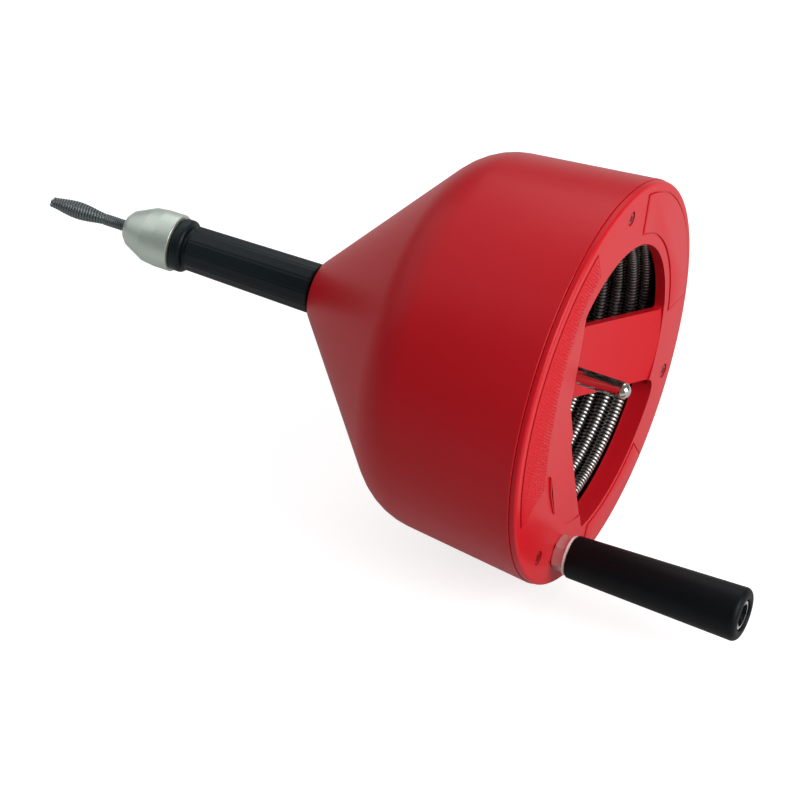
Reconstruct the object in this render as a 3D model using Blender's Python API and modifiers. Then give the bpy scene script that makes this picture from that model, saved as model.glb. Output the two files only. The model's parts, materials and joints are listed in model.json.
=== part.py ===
"""Hand-cranked drum auger: a funnel drum with a wound cable, a turning grip and a cable chuck.

Every piece is modelled round a local Z axis, the machine's axis, with z = 0 at the rear lip of the
drum and +Z towards the chuck. One empty then lays that axis along world +X. Lengths are in metres.
"""
import math

import bmesh
import bpy
from mathutils import Matrix, Vector

# Drum shell
LIP_RADIUS = 0.110
WALL_FRONT_RADIUS = 0.1012
SHOULDER_Z = 0.086
SHOULDER_RADIUS = 0.039
CONE_END_RADIUS = 0.0165
CONE_END_Z = 0.1615
SHELL_WALL = 0.003
NECK_BOSS_RADIUS = 0.0145
NECK_BOSS_LENGTH = 0.0235

# Rear cover, its crossbar and its screws
COVER_RIM = 0.0005
COVER_DEPTH = 0.004
COVER_PLATE = 0.003
COVER_CHAMFER = 0.0022
RING_INNER_RADIUS = 0.076
RING_LIP_DEPTH = 0.0055
LOCATING_RIB_HEIGHT = 0.006
LOCATING_RIB_GAP = 0.0009
LOW_WINDOW_RADIUS = 0.0852
LOW_WINDOW_ANGLES = (217.5, 290.5)
LOW_WALL_THICKNESS = 0.0028
LOW_WALL_DEPTH = 0.008
CROSSBAR_ANGLE = 22.0
CROSSBAR_WIDTH = 0.041
CROSSBAR_THICKNESS = 0.004
CROSSBAR_END_DEPTH = 0.0025
CROSSBAR_STEEP_REACH = 0.050
FAN_TIP_RADIUS = 0.0442
FAN_TIP_DEPTH = 0.002
FAN_EDGE_DEPTH = 0.0004
FAN_RIM_RADIUS = 0.080
FAN_ANGLES = (69.0, -73.0)
FAN_FOOT_SWEEP = 8.0
FAN_STEPS = 12
HUB_DEPTH = 0.022
HUB_FLAT = 0.036
HUB_RADIUS = 0.012
HUB_LENGTH = 0.016
SCREW_CIRCLE = 0.097
SCREW_ANGLE = 215.0
SCREW_SPREAD = 110.0
SCREW_RADIUS = 0.0015
SCREW_LENGTH = 0.0100
SCREW_HEAD_RADIUS = 0.0034
SCREW_HEAD_HEIGHT = 0.0012
COUNTERBORE_DEPTH = 0.0016
BOSS_RADIUS = 0.005
BOSS_LENGTH = 0.0135
BOSS_WEB = 0.006

# Drive shaft
SHAFT_FLATS = 0.008
SHAFT_REACH = 0.018
SHAFT_TIP = 0.0015
SHAFT_TIP_RADIUS = 0.0028
SHAFT_THREAD_RADIUS = 0.003
SHAFT_NUT_FLATS = 0.010
SHAFT_NUT_HEIGHT = 0.005
SHAFT_WASHER_RADIUS = 0.009
SHAFT_WASHER_THICKNESS = 0.0012

# Crank handle
CRANK_RADIUS = 0.091
CRANK_ANGLE = -53.0
SPINDLE_RADIUS = 0.004
SPINDLE_HEAD_RADIUS = 0.007
SPINDLE_HEAD_HEIGHT = 0.0035
LOCKNUT_FLATS = 0.013
LOCKNUT_HEIGHT = 0.006
CRANK_NUT_FLATS = 0.017
CRANK_NUT_HEIGHT = 0.006
HANDLE_WASHER_RADIUS = 0.0095
HANDLE_WASHER_THICKNESS = 0.0016
HANDLE_LENGTH = 0.097
HANDLE_ROOT_RADIUS = 0.0115
HANDLE_END_RADIUS = 0.0146
HANDLE_ROUND = 0.0035
HANDLE_RECESS_RADIUS = 0.0085
HANDLE_RECESS_DEPTH = 0.0065

# Spout, grip and chuck
TUBE_RADIUS = 0.009
TUBE_BORE = 0.0046
TUBE_TAIL = 0.004
TUBE_LENGTH = 0.112
CLIP_RADIUS = 0.012
CLIP_THICKNESS = 0.0015
BUSH_LENGTH = 0.0032
GRIP_LENGTH = 0.066
GRIP_REAR_RADIUS = 0.0133
GRIP_FRONT_RADIUS = 0.0118
GRIP_FLUTES = 18
GRIP_FLUTE_DEPTH = 0.0007
GRIP_WASHER_THICKNESS = 0.0015
GRIP_WASHER_RADIUS = 0.0115
COLLAR_LENGTH = 0.0150
COLLAR_RADIUS = 0.0143
COLLAR_REAR_RADIUS = 0.0116
COLLAR_TAPER = 0.0036
CHUCK_BODY_RADIUS = 0.012
CHUCK_BODY_LENGTH = 0.0158
CHUCK_RADIUS = 0.0157
CHUCK_LENGTH = 0.0312
CHUCK_BARREL = 0.0170
CHUCK_NOSE_RADIUS = 0.0097
CHUCK_MOUTH_RADIUS = 0.0062
CHUCK_NOSE_ROUND = 0.003
CHUCK_WALL = 0.0032
JAW_LENGTH = 0.010
JAW_SWEEP = 100.0
JAW_OPENING = 0.0008

# Cable
CABLE_RADIUS = 0.00315
CABLE_NECK_REACH = 0.0125
BULB_LENGTH = 0.0345
BULB_RADIUS = 0.0048
BULB_TIP_RADIUS = 0.0029
BULB_WIRE_RADIUS = 0.0008
BULB_CURLS = 16
BULB_CORE_RADIUS = 0.0009
COIL_OUTER_RADIUS = 0.0885
COIL_LAYER_STEP = 0.0078
COIL_START_Z = 0.0556
COIL_PITCH = 0.0082
COIL_TURNS = 5.5
LEAD_TURNS = 0.8
LEAD_STRAIGHT = 0.018
ANCHOR_WIDTH = 0.009
ANCHOR_LENGTH = 0.014

# Fits and facets
SEAT = 0.0003
STEPS = 64
SMALL_STEPS = 32
LOOP_POINTS = 24
CURL_POINTS = 9

# Places that follow from the sizes above
PLATE_UNDER_Z = COVER_PLATE - COVER_DEPTH
HUB_FACE_Z = HUB_DEPTH - COVER_DEPTH
HUB_END_Z = HUB_FACE_Z + HUB_LENGTH
NECK_START_Z = CONE_END_Z - NECK_BOSS_LENGTH
NECK_BORE = TUBE_RADIUS + SEAT
TUBE_START_Z = NECK_START_Z - TUBE_TAIL
TUBE_END_Z = TUBE_START_Z + TUBE_LENGTH
REAR_WASHER_Z = CONE_END_Z + SEAT
GRIP_Z = REAR_WASHER_Z + GRIP_WASHER_THICKNESS + SEAT
FRONT_WASHER_Z = GRIP_Z + GRIP_LENGTH + SEAT
COLLAR_Z = FRONT_WASHER_Z + GRIP_WASHER_THICKNESS + SEAT
SLEEVE_Z = COLLAR_Z + COLLAR_LENGTH + SEAT
SLEEVE_END_Z = SLEEVE_Z + CHUCK_LENGTH
BODY_Z = TUBE_END_Z + SEAT
BODY_END_Z = BODY_Z + CHUCK_BODY_LENGTH
BULB_Z = SLEEVE_END_Z + CABLE_NECK_REACH
CABLE_END_Z = BULB_Z + BULB_LENGTH
CABLE_START_Z = TUBE_START_Z + LEAD_STRAIGHT
NUT_Z = -COVER_DEPTH - SEAT
WASHER_Z = NUT_Z - CRANK_NUT_HEIGHT - SEAT
HANDLE_Z = WASHER_Z - HANDLE_WASHER_THICKNESS - SEAT
HANDLE_END_Z = HANDLE_Z - HANDLE_LENGTH
CABLE_BORE = CABLE_RADIUS + SEAT
SCREW_ANGLES = (SCREW_ANGLE, SCREW_ANGLE - SCREW_SPREAD, SCREW_ANGLE + SCREW_SPREAD)
HALF_STEP = math.pi / STEPS
FLAT_LIP_RADIUS = LIP_RADIUS * math.cos(HALF_STEP)
AXIS_X = -(CABLE_END_Z + HANDLE_END_Z) / 2

RED = (0.50, 0.012, 0.016)
BLACK = (0.012, 0.013, 0.015)
STEEL = (0.42, 0.42, 0.41)
ZINC = (0.50, 0.52, 0.50)
PALE = (0.62, 0.61, 0.58)


def collection(name):
    group = bpy.data.collections.new(name)
    bpy.context.scene.collection.children.link(group)
    return group


def material(name, colour, roughness, metallic):
    finish = bpy.data.materials.new(name)
    finish.use_nodes = True
    shader = finish.node_tree.nodes["Principled BSDF"]
    shader.inputs["Base Color"].default_value = (*colour, 1.0)
    shader.inputs["Roughness"].default_value = roughness
    shader.inputs["Metallic"].default_value = metallic
    return finish


for leftover in list(bpy.data.objects):
    bpy.data.objects.remove(leftover, do_unlink=True)
PARTS = collection("drain_snake_machine")
CUTTERS = collection("cutters")


def empty(name, location, rotation=(0.0, 0.0, 0.0), parent=None):
    frame = bpy.data.objects.new(name, None)
    frame.location = location
    frame.rotation_euler = rotation
    frame.parent = parent
    PARTS.objects.link(frame)
    return frame


def clock(radius, degrees):
    """Point at a radius and an angle that counts from world +Y towards world +Z."""
    turn = math.radians(degrees)
    return -radius * math.sin(turn), radius * math.cos(turn)


AXIS = empty("machine_axis", (AXIS_X, 0.0, FLAT_LIP_RADIUS), (0.0, math.pi / 2, 0.0))
CRANK_AXIS = empty("crank_axis", (*clock(CRANK_RADIUS, CRANK_ANGLE), 0.0), parent=AXIS)


def part(name, data, colour, roughness=0.4, metallic=0.0, parent=AXIS):
    piece = bpy.data.objects.new(name, data)
    piece.data.materials.append(material(name, colour, roughness, metallic))
    piece.parent = parent
    PARTS.objects.link(piece)
    return piece


def tool(name, data, parent=AXIS):
    shape = bpy.data.objects.new(name, data)
    shape.parent = parent
    shape.hide_render = True
    shape.display_type = "WIRE"
    CUTTERS.objects.link(shape)
    return shape


def combine(piece, operation, operand):
    step = piece.modifiers.new(operand.name, "BOOLEAN")
    step.operation = operation
    step.solver = "EXACT"
    step.object = operand


def mesh_from(name, build):
    """Mesh filled by a function that draws into a new bmesh."""
    mesh = bpy.data.meshes.new(name)
    draft = bmesh.new()
    build(draft)
    bmesh.ops.recalc_face_normals(draft, faces=draft.faces)
    draft.to_mesh(mesh)
    draft.free()
    mesh.shade_smooth()
    mesh.set_sharp_from_angle(angle=math.radians(35.0))
    return mesh


def add_prism(draft, radius, low, high, centre=(0.0, 0.0), sides=SMALL_STEPS, top_radius=None):
    made = bmesh.ops.create_cone(
        draft,
        cap_ends=True,
        segments=sides,
        radius1=radius,
        radius2=radius if top_radius is None else top_radius,
        depth=high - low,
    )
    bmesh.ops.translate(draft, verts=made["verts"], vec=(*centre, (low + high) / 2))


def rotation_about_z(degrees):
    return Matrix.Rotation(math.radians(degrees), 3, "Z")


def add_box(draft, size, centre, degrees=0.0):
    made = bmesh.ops.create_cube(draft, size=1.0)
    bmesh.ops.scale(draft, verts=made["verts"], vec=size)
    bmesh.ops.rotate(draft, verts=made["verts"], matrix=rotation_about_z(degrees))
    bmesh.ops.translate(draft, verts=made["verts"], vec=centre)


def draw_out(draft, faces, vector):
    """Thickens a flat sheet of faces into a solid."""
    drawn = bmesh.ops.extrude_face_region(draft, geom=faces)
    moved = [item for item in drawn["geom"] if isinstance(item, bmesh.types.BMVert)]
    bmesh.ops.translate(draft, verts=moved, vec=vector)


def add_arc(draft, inner, outer, angles, low, high):
    """Arc-shaped block between two radii and two angles."""
    steps = max(2, round(abs(angles[1] - angles[0]) * STEPS / 360.0))
    sweep = [angles[0] + (angles[1] - angles[0]) * index / steps for index in range(steps + 1)]
    corners = [(outer, angle) for angle in sweep] + [(inner, angle) for angle in sweep[::-1]]
    rim = [draft.verts.new((*clock(radius, angle), low)) for radius, angle in corners]
    draw_out(draft, [draft.faces.new(rim)], (0.0, 0.0, high - low))


def prism(name, radius, low, high, **options):
    return mesh_from(name, lambda draft: add_prism(draft, radius, low, high, **options))


def hexagon_radius(flats):
    return flats / math.sqrt(3.0)


def turned(name, profile, closed):
    """Profile of (radius, z) points, swept round the axis by the Screw modifier that spin() adds."""
    mesh = bpy.data.meshes.new(name)
    count = len(profile)
    edges = [(index, index + 1) for index in range(count - 1)]
    if closed:
        edges.append((count - 1, 0))
    mesh.from_pydata([(radius, 0.0, z) for radius, z in profile], edges, [])
    return mesh


def spin(piece, steps=STEPS):
    step = piece.modifiers.new("turn", "SCREW")
    step.axis = "Z"
    step.angle = 2.0 * math.pi
    step.steps = steps
    step.render_steps = steps
    step.use_merge_vertices = True
    step.merge_threshold = 0.00001
    step.use_smooth_shade = True
    return piece


def turned_part(
    name, profile, colour, roughness=0.4, metallic=0.0, parent=AXIS, closed=True, steps=SMALL_STEPS
):
    piece = part(name, turned(name, profile, closed), colour, roughness, metallic, parent)
    return spin(piece, steps)


def ring(name, inner, outer, low, high, colour, roughness=0.4, metallic=0.0, parent=AXIS):
    profile = [(outer, high), (outer, low), (inner, low), (inner, high)]
    return turned_part(name, profile, colour, roughness, metallic, parent)


def nut(name, flats, bore, low, high, parent, colour=ZINC):
    piece = part(name, prism(name, hexagon_radius(flats), low, high, sides=6), colour, 0.22, 1.0, parent)
    combine(piece, "DIFFERENCE", tool(name + "_bore", prism(name, bore, low - SEAT, high + SEAT), parent))
    return piece


def rounded_corner(start, corner, end, radius, steps):
    """Arc points that round one corner of an outline."""
    corner = Vector(corner)
    to_start = (Vector(start) - corner).normalized()
    to_end = (Vector(end) - corner).normalized()
    half = to_start.angle(to_end) / 2
    centre = corner + (to_start + to_end).normalized() * radius / math.sin(half)
    first = corner + to_start * radius / math.tan(half) - centre
    last = corner + to_end * radius / math.tan(half) - centre
    sweep = first.angle(last)
    points = []
    for index in range(steps + 1):
        share = index / steps
        arc = first * math.sin((1 - share) * sweep) + last * math.sin(share * sweep)
        points.append(tuple(centre + arc / math.sin(sweep)))
    return points


def funnel_outline(inset):
    """Cone, shoulder and wall from front to rear, set in from the outer surface."""
    lip = Vector((LIP_RADIUS, 0.0))
    shoulder = Vector((WALL_FRONT_RADIUS, SHOULDER_Z))
    cone_end = Vector((CONE_END_RADIUS, CONE_END_Z))
    wall = (shoulder - lip).normalized()
    cone = (cone_end - shoulder).normalized()
    wall_in = Vector((-wall.y, wall.x)) * inset
    cone_in = Vector((-cone.y, cone.x)) * inset
    lift = inset * math.tan(wall.angle(cone) / 2)
    corner = shoulder + wall_in - wall * lift
    front = cone_end + cone_in
    rear = lip + wall_in
    rear = rear - wall * (rear.y / wall.y)
    return [front] + rounded_corner(front, corner, rear, SHOULDER_RADIUS - inset, 7) + [rear]


def on_cone(inset, radius):
    """Point of the inset cone at a radius."""
    outline = funnel_outline(inset)
    top, foot = Vector(outline[0]), Vector(outline[1])
    share = (radius - foot.x) / (top.x - foot.x)
    return tuple(foot + (top - foot) * share)


def drum_shell():
    outer = [tuple(point) for point in funnel_outline(0.0)]
    inner = [tuple(point) for point in funnel_outline(SHELL_WALL)][1:]
    profile = [(NECK_BORE, CONE_END_Z)] + outer + inner[::-1]
    profile.append(on_cone(SHELL_WALL, NECK_BOSS_RADIUS))
    profile += [(NECK_BOSS_RADIUS, NECK_START_Z), (NECK_BORE, NECK_START_Z)]
    shell = turned_part("drum_shell", profile, RED, 0.33, steps=STEPS)
    shell.rotation_euler.z = HALF_STEP
    boss_low = PLATE_UNDER_Z + SEAT
    web_low = PLATE_UNDER_Z + LOCATING_RIB_HEIGHT + 2 * SEAT
    web_high = boss_low + BOSS_LENGTH
    web_reach = LIP_RADIUS - SHELL_WALL - SCREW_CIRCLE

    def bosses(draft):
        for angle in SCREW_ANGLES:
            add_prism(draft, BOSS_RADIUS, boss_low, web_high, clock(SCREW_CIRCLE, angle), sides=16)

    def webs(draft):
        for angle in SCREW_ANGLES:
            centre = (*clock(SCREW_CIRCLE + web_reach / 2, angle), (web_low + web_high) / 2)
            add_box(draft, (BOSS_WEB, web_reach, web_high - web_low), centre, angle)

    def holes(draft):
        for angle in SCREW_ANGLES:
            place = clock(SCREW_CIRCLE, angle)
            add_prism(draft, SCREW_RADIUS + SEAT, boss_low - SEAT, SCREW_LENGTH, place, sides=12)

    combine(shell, "UNION", tool("screw_bosses", mesh_from("screw_bosses", bosses)))
    combine(shell, "UNION", tool("boss_webs", mesh_from("boss_webs", webs)))
    combine(shell, "DIFFERENCE", tool("boss_holes", mesh_from("boss_holes", holes)))


def crossbar_mesh():
    """Dished bar: a bent strip seen from its side, steep towards the fan, drawn out to the bar's width."""
    reach = RING_INNER_RADIUS + CROSSBAR_END_DEPTH / 2
    end = CROSSBAR_END_DEPTH - COVER_DEPTH
    flat = HUB_FLAT / 2
    steep_end = end + FAN_EDGE_DEPTH
    outline = [(-reach, end), (-flat, HUB_FACE_Z), (flat, HUB_FACE_Z), (CROSSBAR_STEEP_REACH, steep_end)]
    outline += [(along, z + CROSSBAR_THICKNESS) for along, z in outline[::-1]]

    def build(draft):
        side = [draft.verts.new((-CROSSBAR_WIDTH / 2, along, z)) for along, z in outline]
        draw_out(draft, [draft.faces.new(side)], (CROSSBAR_WIDTH, 0.0, 0.0))
        bmesh.ops.rotate(draft, verts=draft.verts, matrix=rotation_about_z(CROSSBAR_ANGLE))

    return mesh_from("crossbar", build)


def fan_mesh():
    """Plate that widens from a tip beside the hub to the ring, folded along the bar's line."""
    face = -COVER_DEPTH
    edge = face + FAN_EDGE_DEPTH
    rim = face + FAN_EDGE_DEPTH / 4
    first, last = FAN_ANGLES
    foot = last + FAN_FOOT_SWEEP
    corners = [(RING_INNER_RADIUS + CROSSBAR_END_DEPTH, first, edge)]
    for index in range(FAN_STEPS + 1):
        corners.append((FAN_RIM_RADIUS, first + (foot - first) * index / FAN_STEPS, rim))
    corners.append((LOW_WINDOW_RADIUS + LOW_WALL_THICKNESS, foot, rim))
    corners.append((LOW_WINDOW_RADIUS + LOW_WALL_THICKNESS / 2, last, edge))

    def build(draft):
        tip = draft.verts.new((*clock(FAN_TIP_RADIUS, CROSSBAR_ANGLE), face + FAN_TIP_DEPTH))
        border = [draft.verts.new((*clock(radius, angle), z)) for radius, angle, z in corners]
        sheet = [draft.faces.new((tip, start, end)) for start, end in zip(border, border[1:])]
        draw_out(draft, sheet, (0.0, 0.0, COVER_PLATE))

    return mesh_from("fan", build)


def rear_cover():
    rim = LIP_RADIUS - COVER_RIM
    rib = funnel_outline(SHELL_WALL)[-1][0] - LOCATING_RIB_GAP
    lip_end = RING_LIP_DEPTH - COVER_DEPTH
    profile = [
        (rim, -SEAT),
        (rim, COVER_CHAMFER - COVER_DEPTH),
        (rim - COVER_CHAMFER, -COVER_DEPTH),
        (RING_INNER_RADIUS, -COVER_DEPTH),
        (RING_INNER_RADIUS, lip_end),
        (RING_INNER_RADIUS + COVER_PLATE, lip_end),
        (RING_INNER_RADIUS + COVER_PLATE, PLATE_UNDER_Z),
        (rib - COVER_PLATE, PLATE_UNDER_Z),
        (rib - COVER_PLATE, PLATE_UNDER_Z + LOCATING_RIB_HEIGHT),
        (rib, PLATE_UNDER_Z + LOCATING_RIB_HEIGHT),
        (rib, -SEAT),
    ]
    cover = turned_part("rear_cover", profile, RED, 0.33, steps=STEPS)
    cover.rotation_euler.z = HALF_STEP

    def counterbores(draft):
        for angle in SCREW_ANGLES:
            place = clock(SCREW_CIRCLE, angle)
            floor = COUNTERBORE_DEPTH - COVER_DEPTH
            add_prism(draft, SCREW_HEAD_RADIUS + 2 * SEAT, -COVER_DEPTH - SEAT, floor, place, sides=16)

    def holes(draft):
        for angle in SCREW_ANGLES:
            place = clock(SCREW_CIRCLE, angle)
            add_prism(draft, SCREW_RADIUS + SEAT, -COVER_DEPTH, PLATE_UNDER_Z + SEAT, place, sides=12)
        place = clock(CRANK_RADIUS, CRANK_ANGLE)
        add_prism(draft, SPINDLE_RADIUS + SEAT, -COVER_DEPTH - SEAT, PLATE_UNDER_Z + SEAT, place, sides=24)

    hub = prism("hub", HUB_RADIUS, HUB_FACE_Z + SEAT, HUB_END_Z, sides=24)
    socket_radius = hexagon_radius(SHAFT_FLATS + 2 * SEAT)
    socket = prism("hub_socket", socket_radius, HUB_FACE_Z - SEAT, HUB_END_Z + SEAT, sides=6)
    wall = (LOW_WINDOW_RADIUS - SEAT, LOW_WINDOW_RADIUS + LOW_WALL_THICKNESS)
    wall_z = (PLATE_UNDER_Z - SEAT, LOW_WALL_DEPTH - COVER_DEPTH)
    low_wall = mesh_from("low_wall", lambda draft: add_arc(draft, *wall, LOW_WINDOW_ANGLES, *wall_z))
    cut = (RING_INNER_RADIUS - SHELL_WALL, LOW_WINDOW_RADIUS)
    cut_z = (-COVER_DEPTH - SEAT, LOW_WALL_DEPTH)
    low_window = mesh_from("low_window", lambda draft: add_arc(draft, *cut, LOW_WINDOW_ANGLES, *cut_z))
    combine(cover, "UNION", tool("low_wall", low_wall))
    combine(cover, "DIFFERENCE", tool("low_window", low_window))
    combine(cover, "UNION", tool("crossbar", crossbar_mesh()))
    combine(cover, "UNION", tool("fan", fan_mesh()))
    combine(cover, "UNION", tool("hub", hub))
    combine(cover, "DIFFERENCE", tool("hub_socket", socket))
    combine(cover, "DIFFERENCE", tool("screw_counterbores", mesh_from("screw_counterbores", counterbores)))
    combine(cover, "DIFFERENCE", tool("cover_holes", mesh_from("cover_holes", holes)))


def cover_screws():
    seat = COUNTERBORE_DEPTH - COVER_DEPTH - SEAT
    profile = [
        (0.0, SCREW_LENGTH - 2 * SEAT),
        (SCREW_RADIUS, SCREW_LENGTH - 2 * SEAT),
        (SCREW_RADIUS, seat),
        (SCREW_HEAD_RADIUS, seat),
        (SCREW_HEAD_RADIUS, seat - SCREW_HEAD_HEIGHT),
        (0.0, seat - SCREW_HEAD_HEIGHT),
    ]
    for number, angle in enumerate(SCREW_ANGLES, 1):
        screw = turned_part(f"cover_screw_{number}", profile, STEEL, 0.3, 1.0, closed=False, steps=16)
        screw.location = (*clock(SCREW_CIRCLE, angle), 0.0)


def drive_shaft():
    hexagon = hexagon_radius(SHAFT_FLATS)
    tip = SHAFT_TIP - SHAFT_REACH
    bar = prism("drive_shaft", hexagon, tip, HUB_END_Z - SEAT, sides=6)
    shaft = part("drive_shaft", bar, STEEL, 0.25, 1.0)
    shoulder = SHAFT_FLATS / 2 - SEAT
    nose = prism("shaft_tip", SHAFT_TIP_RADIUS, -SHAFT_REACH, tip + SEAT, top_radius=shoulder, sides=24)
    washer_z = HUB_END_Z + SEAT
    nut_z = washer_z + SHAFT_WASHER_THICKNESS + SEAT
    nut_end = nut_z + SHAFT_NUT_HEIGHT
    thread = prism("shaft_thread", SHAFT_THREAD_RADIUS, HUB_END_Z - 2 * SEAT, nut_end + SHAFT_TIP, sides=24)
    combine(shaft, "UNION", tool("shaft_tip", nose))
    combine(shaft, "UNION", tool("shaft_thread", thread))
    bore = SHAFT_THREAD_RADIUS + SEAT
    ring("shaft_washer", bore, SHAFT_WASHER_RADIUS, washer_z, nut_z - SEAT, STEEL, 0.3, 1.0)
    nut("shaft_nut", SHAFT_NUT_FLATS, bore, nut_z, nut_end, AXIS)


def crank():
    bore = SPINDLE_RADIUS + SEAT
    locknut_z = PLATE_UNDER_Z + SEAT
    head_z = HANDLE_END_Z + HANDLE_RECESS_DEPTH - SEAT
    spindle_top = locknut_z + LOCKNUT_HEIGHT + SHAFT_TIP
    spindle = [
        (0.0, spindle_top),
        (SPINDLE_RADIUS, spindle_top),
        (SPINDLE_RADIUS, head_z),
        (SPINDLE_HEAD_RADIUS, head_z),
        (SPINDLE_HEAD_RADIUS, head_z - SPINDLE_HEAD_HEIGHT),
        (0.0, head_z - SPINDLE_HEAD_HEIGHT),
    ]
    turned_part("crank_spindle", spindle, STEEL, 0.25, 1.0, CRANK_AXIS, closed=False, steps=24)
    nut("spindle_locknut", LOCKNUT_FLATS, bore, locknut_z, locknut_z + LOCKNUT_HEIGHT, CRANK_AXIS)
    nut("crank_nut", CRANK_NUT_FLATS, bore, NUT_Z - CRANK_NUT_HEIGHT, NUT_Z, CRANK_AXIS)
    washer_low = WASHER_Z - HANDLE_WASHER_THICKNESS
    ring("handle_washer", bore, HANDLE_WASHER_RADIUS, washer_low, WASHER_Z, PALE, 0.45, 0.0, CRANK_AXIS)
    root = (HANDLE_ROOT_RADIUS, HANDLE_Z)
    corner = (HANDLE_END_RADIUS, HANDLE_END_Z)
    rim = (HANDLE_RECESS_RADIUS, HANDLE_END_Z)
    floor = HANDLE_END_Z + HANDLE_RECESS_DEPTH
    handle = [(bore, HANDLE_Z), root] + rounded_corner(root, corner, rim, HANDLE_ROUND, 5)
    handle += [rim, (HANDLE_RECESS_RADIUS, floor), (bore, floor)]
    turned_part("crank_handle", handle, BLACK, 0.5, 0.0, CRANK_AXIS)


def spout():
    ring("spout_tube", TUBE_BORE, TUBE_RADIUS, TUBE_START_Z, TUBE_END_Z, STEEL, 0.35, 1.0)
    clip_high = NECK_START_Z - SEAT
    ring("tube_clip", NECK_BORE, CLIP_RADIUS, clip_high - CLIP_THICKNESS, clip_high, STEEL, 0.3, 1.0)
    bush_high = TUBE_START_Z - SEAT
    bush = [
        (TUBE_RADIUS, bush_high),
        (TUBE_RADIUS, bush_high - BUSH_LENGTH),
        (TUBE_BORE + BUSH_LENGTH / 2, bush_high - BUSH_LENGTH),
        (TUBE_BORE, bush_high - BUSH_LENGTH / 2),
        (TUBE_BORE, bush_high),
    ]
    turned_part("throat_bush", bush, BLACK, 0.5)


def grip():
    for name, low in (("grip_washer_rear", REAR_WASHER_Z), ("grip_washer_front", FRONT_WASHER_Z)):
        ring(name, NECK_BORE, GRIP_WASHER_RADIUS, low, low + GRIP_WASHER_THICKNESS, BLACK, 0.5)

    def fluted(draft):
        """Tapered bar whose section alternates between broad ribs and narrow flutes."""
        sides = GRIP_FLUTES * 4
        end = GRIP_Z + GRIP_LENGTH
        add_prism(draft, GRIP_REAR_RADIUS, GRIP_Z, end, sides=sides, top_radius=GRIP_FRONT_RADIUS)
        for vertex in draft.verts:
            turn = math.atan2(vertex.co.y, vertex.co.x)
            step = round(turn / (2 * math.pi) * sides - 0.5) % 4
            if step == 0:
                flat = Vector((vertex.co.x, vertex.co.y, 0.0))
                vertex.co -= flat.normalized() * GRIP_FLUTE_DEPTH

    sleeve = part("grip_sleeve", mesh_from("grip_sleeve", fluted), BLACK, 0.55)
    bore = prism("grip_bore", NECK_BORE, GRIP_Z - SEAT, GRIP_Z + GRIP_LENGTH + SEAT)
    combine(sleeve, "DIFFERENCE", tool("grip_bore", bore))


def chuck():
    pocket = CHUCK_BODY_RADIUS + SEAT
    collar_end = COLLAR_Z + COLLAR_LENGTH
    collar = [
        (COLLAR_RADIUS, collar_end),
        (COLLAR_RADIUS, COLLAR_Z + COLLAR_TAPER),
        (COLLAR_REAR_RADIUS, COLLAR_Z),
        (NECK_BORE, COLLAR_Z),
        (NECK_BORE, TUBE_END_Z),
        (pocket, TUBE_END_Z),
        (pocket, collar_end),
    ]
    turned_part("chuck_collar", collar, BLACK, 0.45, steps=48)
    bore = CABLE_BORE + 2 * SEAT
    ring("chuck_body", bore, CHUCK_BODY_RADIUS, BODY_Z, BODY_END_Z, STEEL, 0.35, 1.0)
    nose_z = SLEEVE_END_Z - CHUCK_NOSE_ROUND
    cavity_z = BODY_END_Z + SEAT
    cavity_end = nose_z - SEAT
    cavity_nose = CHUCK_NOSE_RADIUS - CHUCK_WALL / 1.5
    sleeve = [
        (CHUCK_MOUTH_RADIUS, SLEEVE_END_Z),
        (CHUCK_NOSE_RADIUS, nose_z),
        (CHUCK_RADIUS, SLEEVE_Z + CHUCK_BARREL),
        (CHUCK_RADIUS, SLEEVE_Z),
        (pocket, SLEEVE_Z),
        (pocket, cavity_z),
        (cavity_nose, cavity_end),
        (bore, cavity_end),
        (bore, SLEEVE_END_Z),
    ]
    turned_part("chuck_sleeve", sleeve, ZINC, 0.38, 0.9, steps=48)
    slope = (pocket - cavity_nose) / (cavity_end - cavity_z)
    jaw_low = cavity_z + SEAT
    jaw_high = jaw_low + JAW_LENGTH
    gap = (JAW_OPENING + SEAT) * math.hypot(1.0, slope)
    low_radius = pocket - slope * (jaw_low - cavity_z) - gap
    section = [(CABLE_BORE, jaw_low), (low_radius, jaw_low), (low_radius - slope * JAW_LENGTH, jaw_high)]
    section.append((CABLE_BORE, jaw_high))

    def jaw(draft):
        face = draft.faces.new([draft.verts.new((radius, 0.0, z)) for radius, z in section])
        bmesh.ops.rotate(draft, verts=draft.verts, matrix=rotation_about_z(-JAW_SWEEP / 2))
        geometry = [face] + list(face.edges) + list(face.verts)
        sweep = math.radians(JAW_SWEEP)
        bmesh.ops.spin(draft, geom=geometry, axis=(0, 0, 1), angle=sweep, steps=8)

    for number in range(3):
        piece = part(f"chuck_jaw_{number + 1}", mesh_from("chuck_jaw", jaw), STEEL, 0.35, 1.0)
        piece.rotation_euler.z = math.radians(120.0 * number)


def tube_along(name, points, radius, colour):
    """Closed round tube along a chain of points."""
    curve = bpy.data.curves.new(name, "CURVE")
    curve.dimensions = "3D"
    curve.bevel_depth = radius
    curve.bevel_resolution = 1
    curve.use_fill_caps = True
    spline = curve.splines.new("POLY")
    spline.points.add(len(points) - 1)
    for slot, point in zip(spline.points, points):
        slot.co = (*point, 1.0)
    return part(name, curve, colour, 0.3, 1.0)


def least_gap(points, radius, skip):
    """Smallest clear distance between stretches of one tube that aren't neighbours along it."""
    nearest = min(
        (points[first] - points[second]).length
        for first in range(len(points))
        for second in range(first + skip, len(points))
    )
    return nearest - 2 * radius


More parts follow.
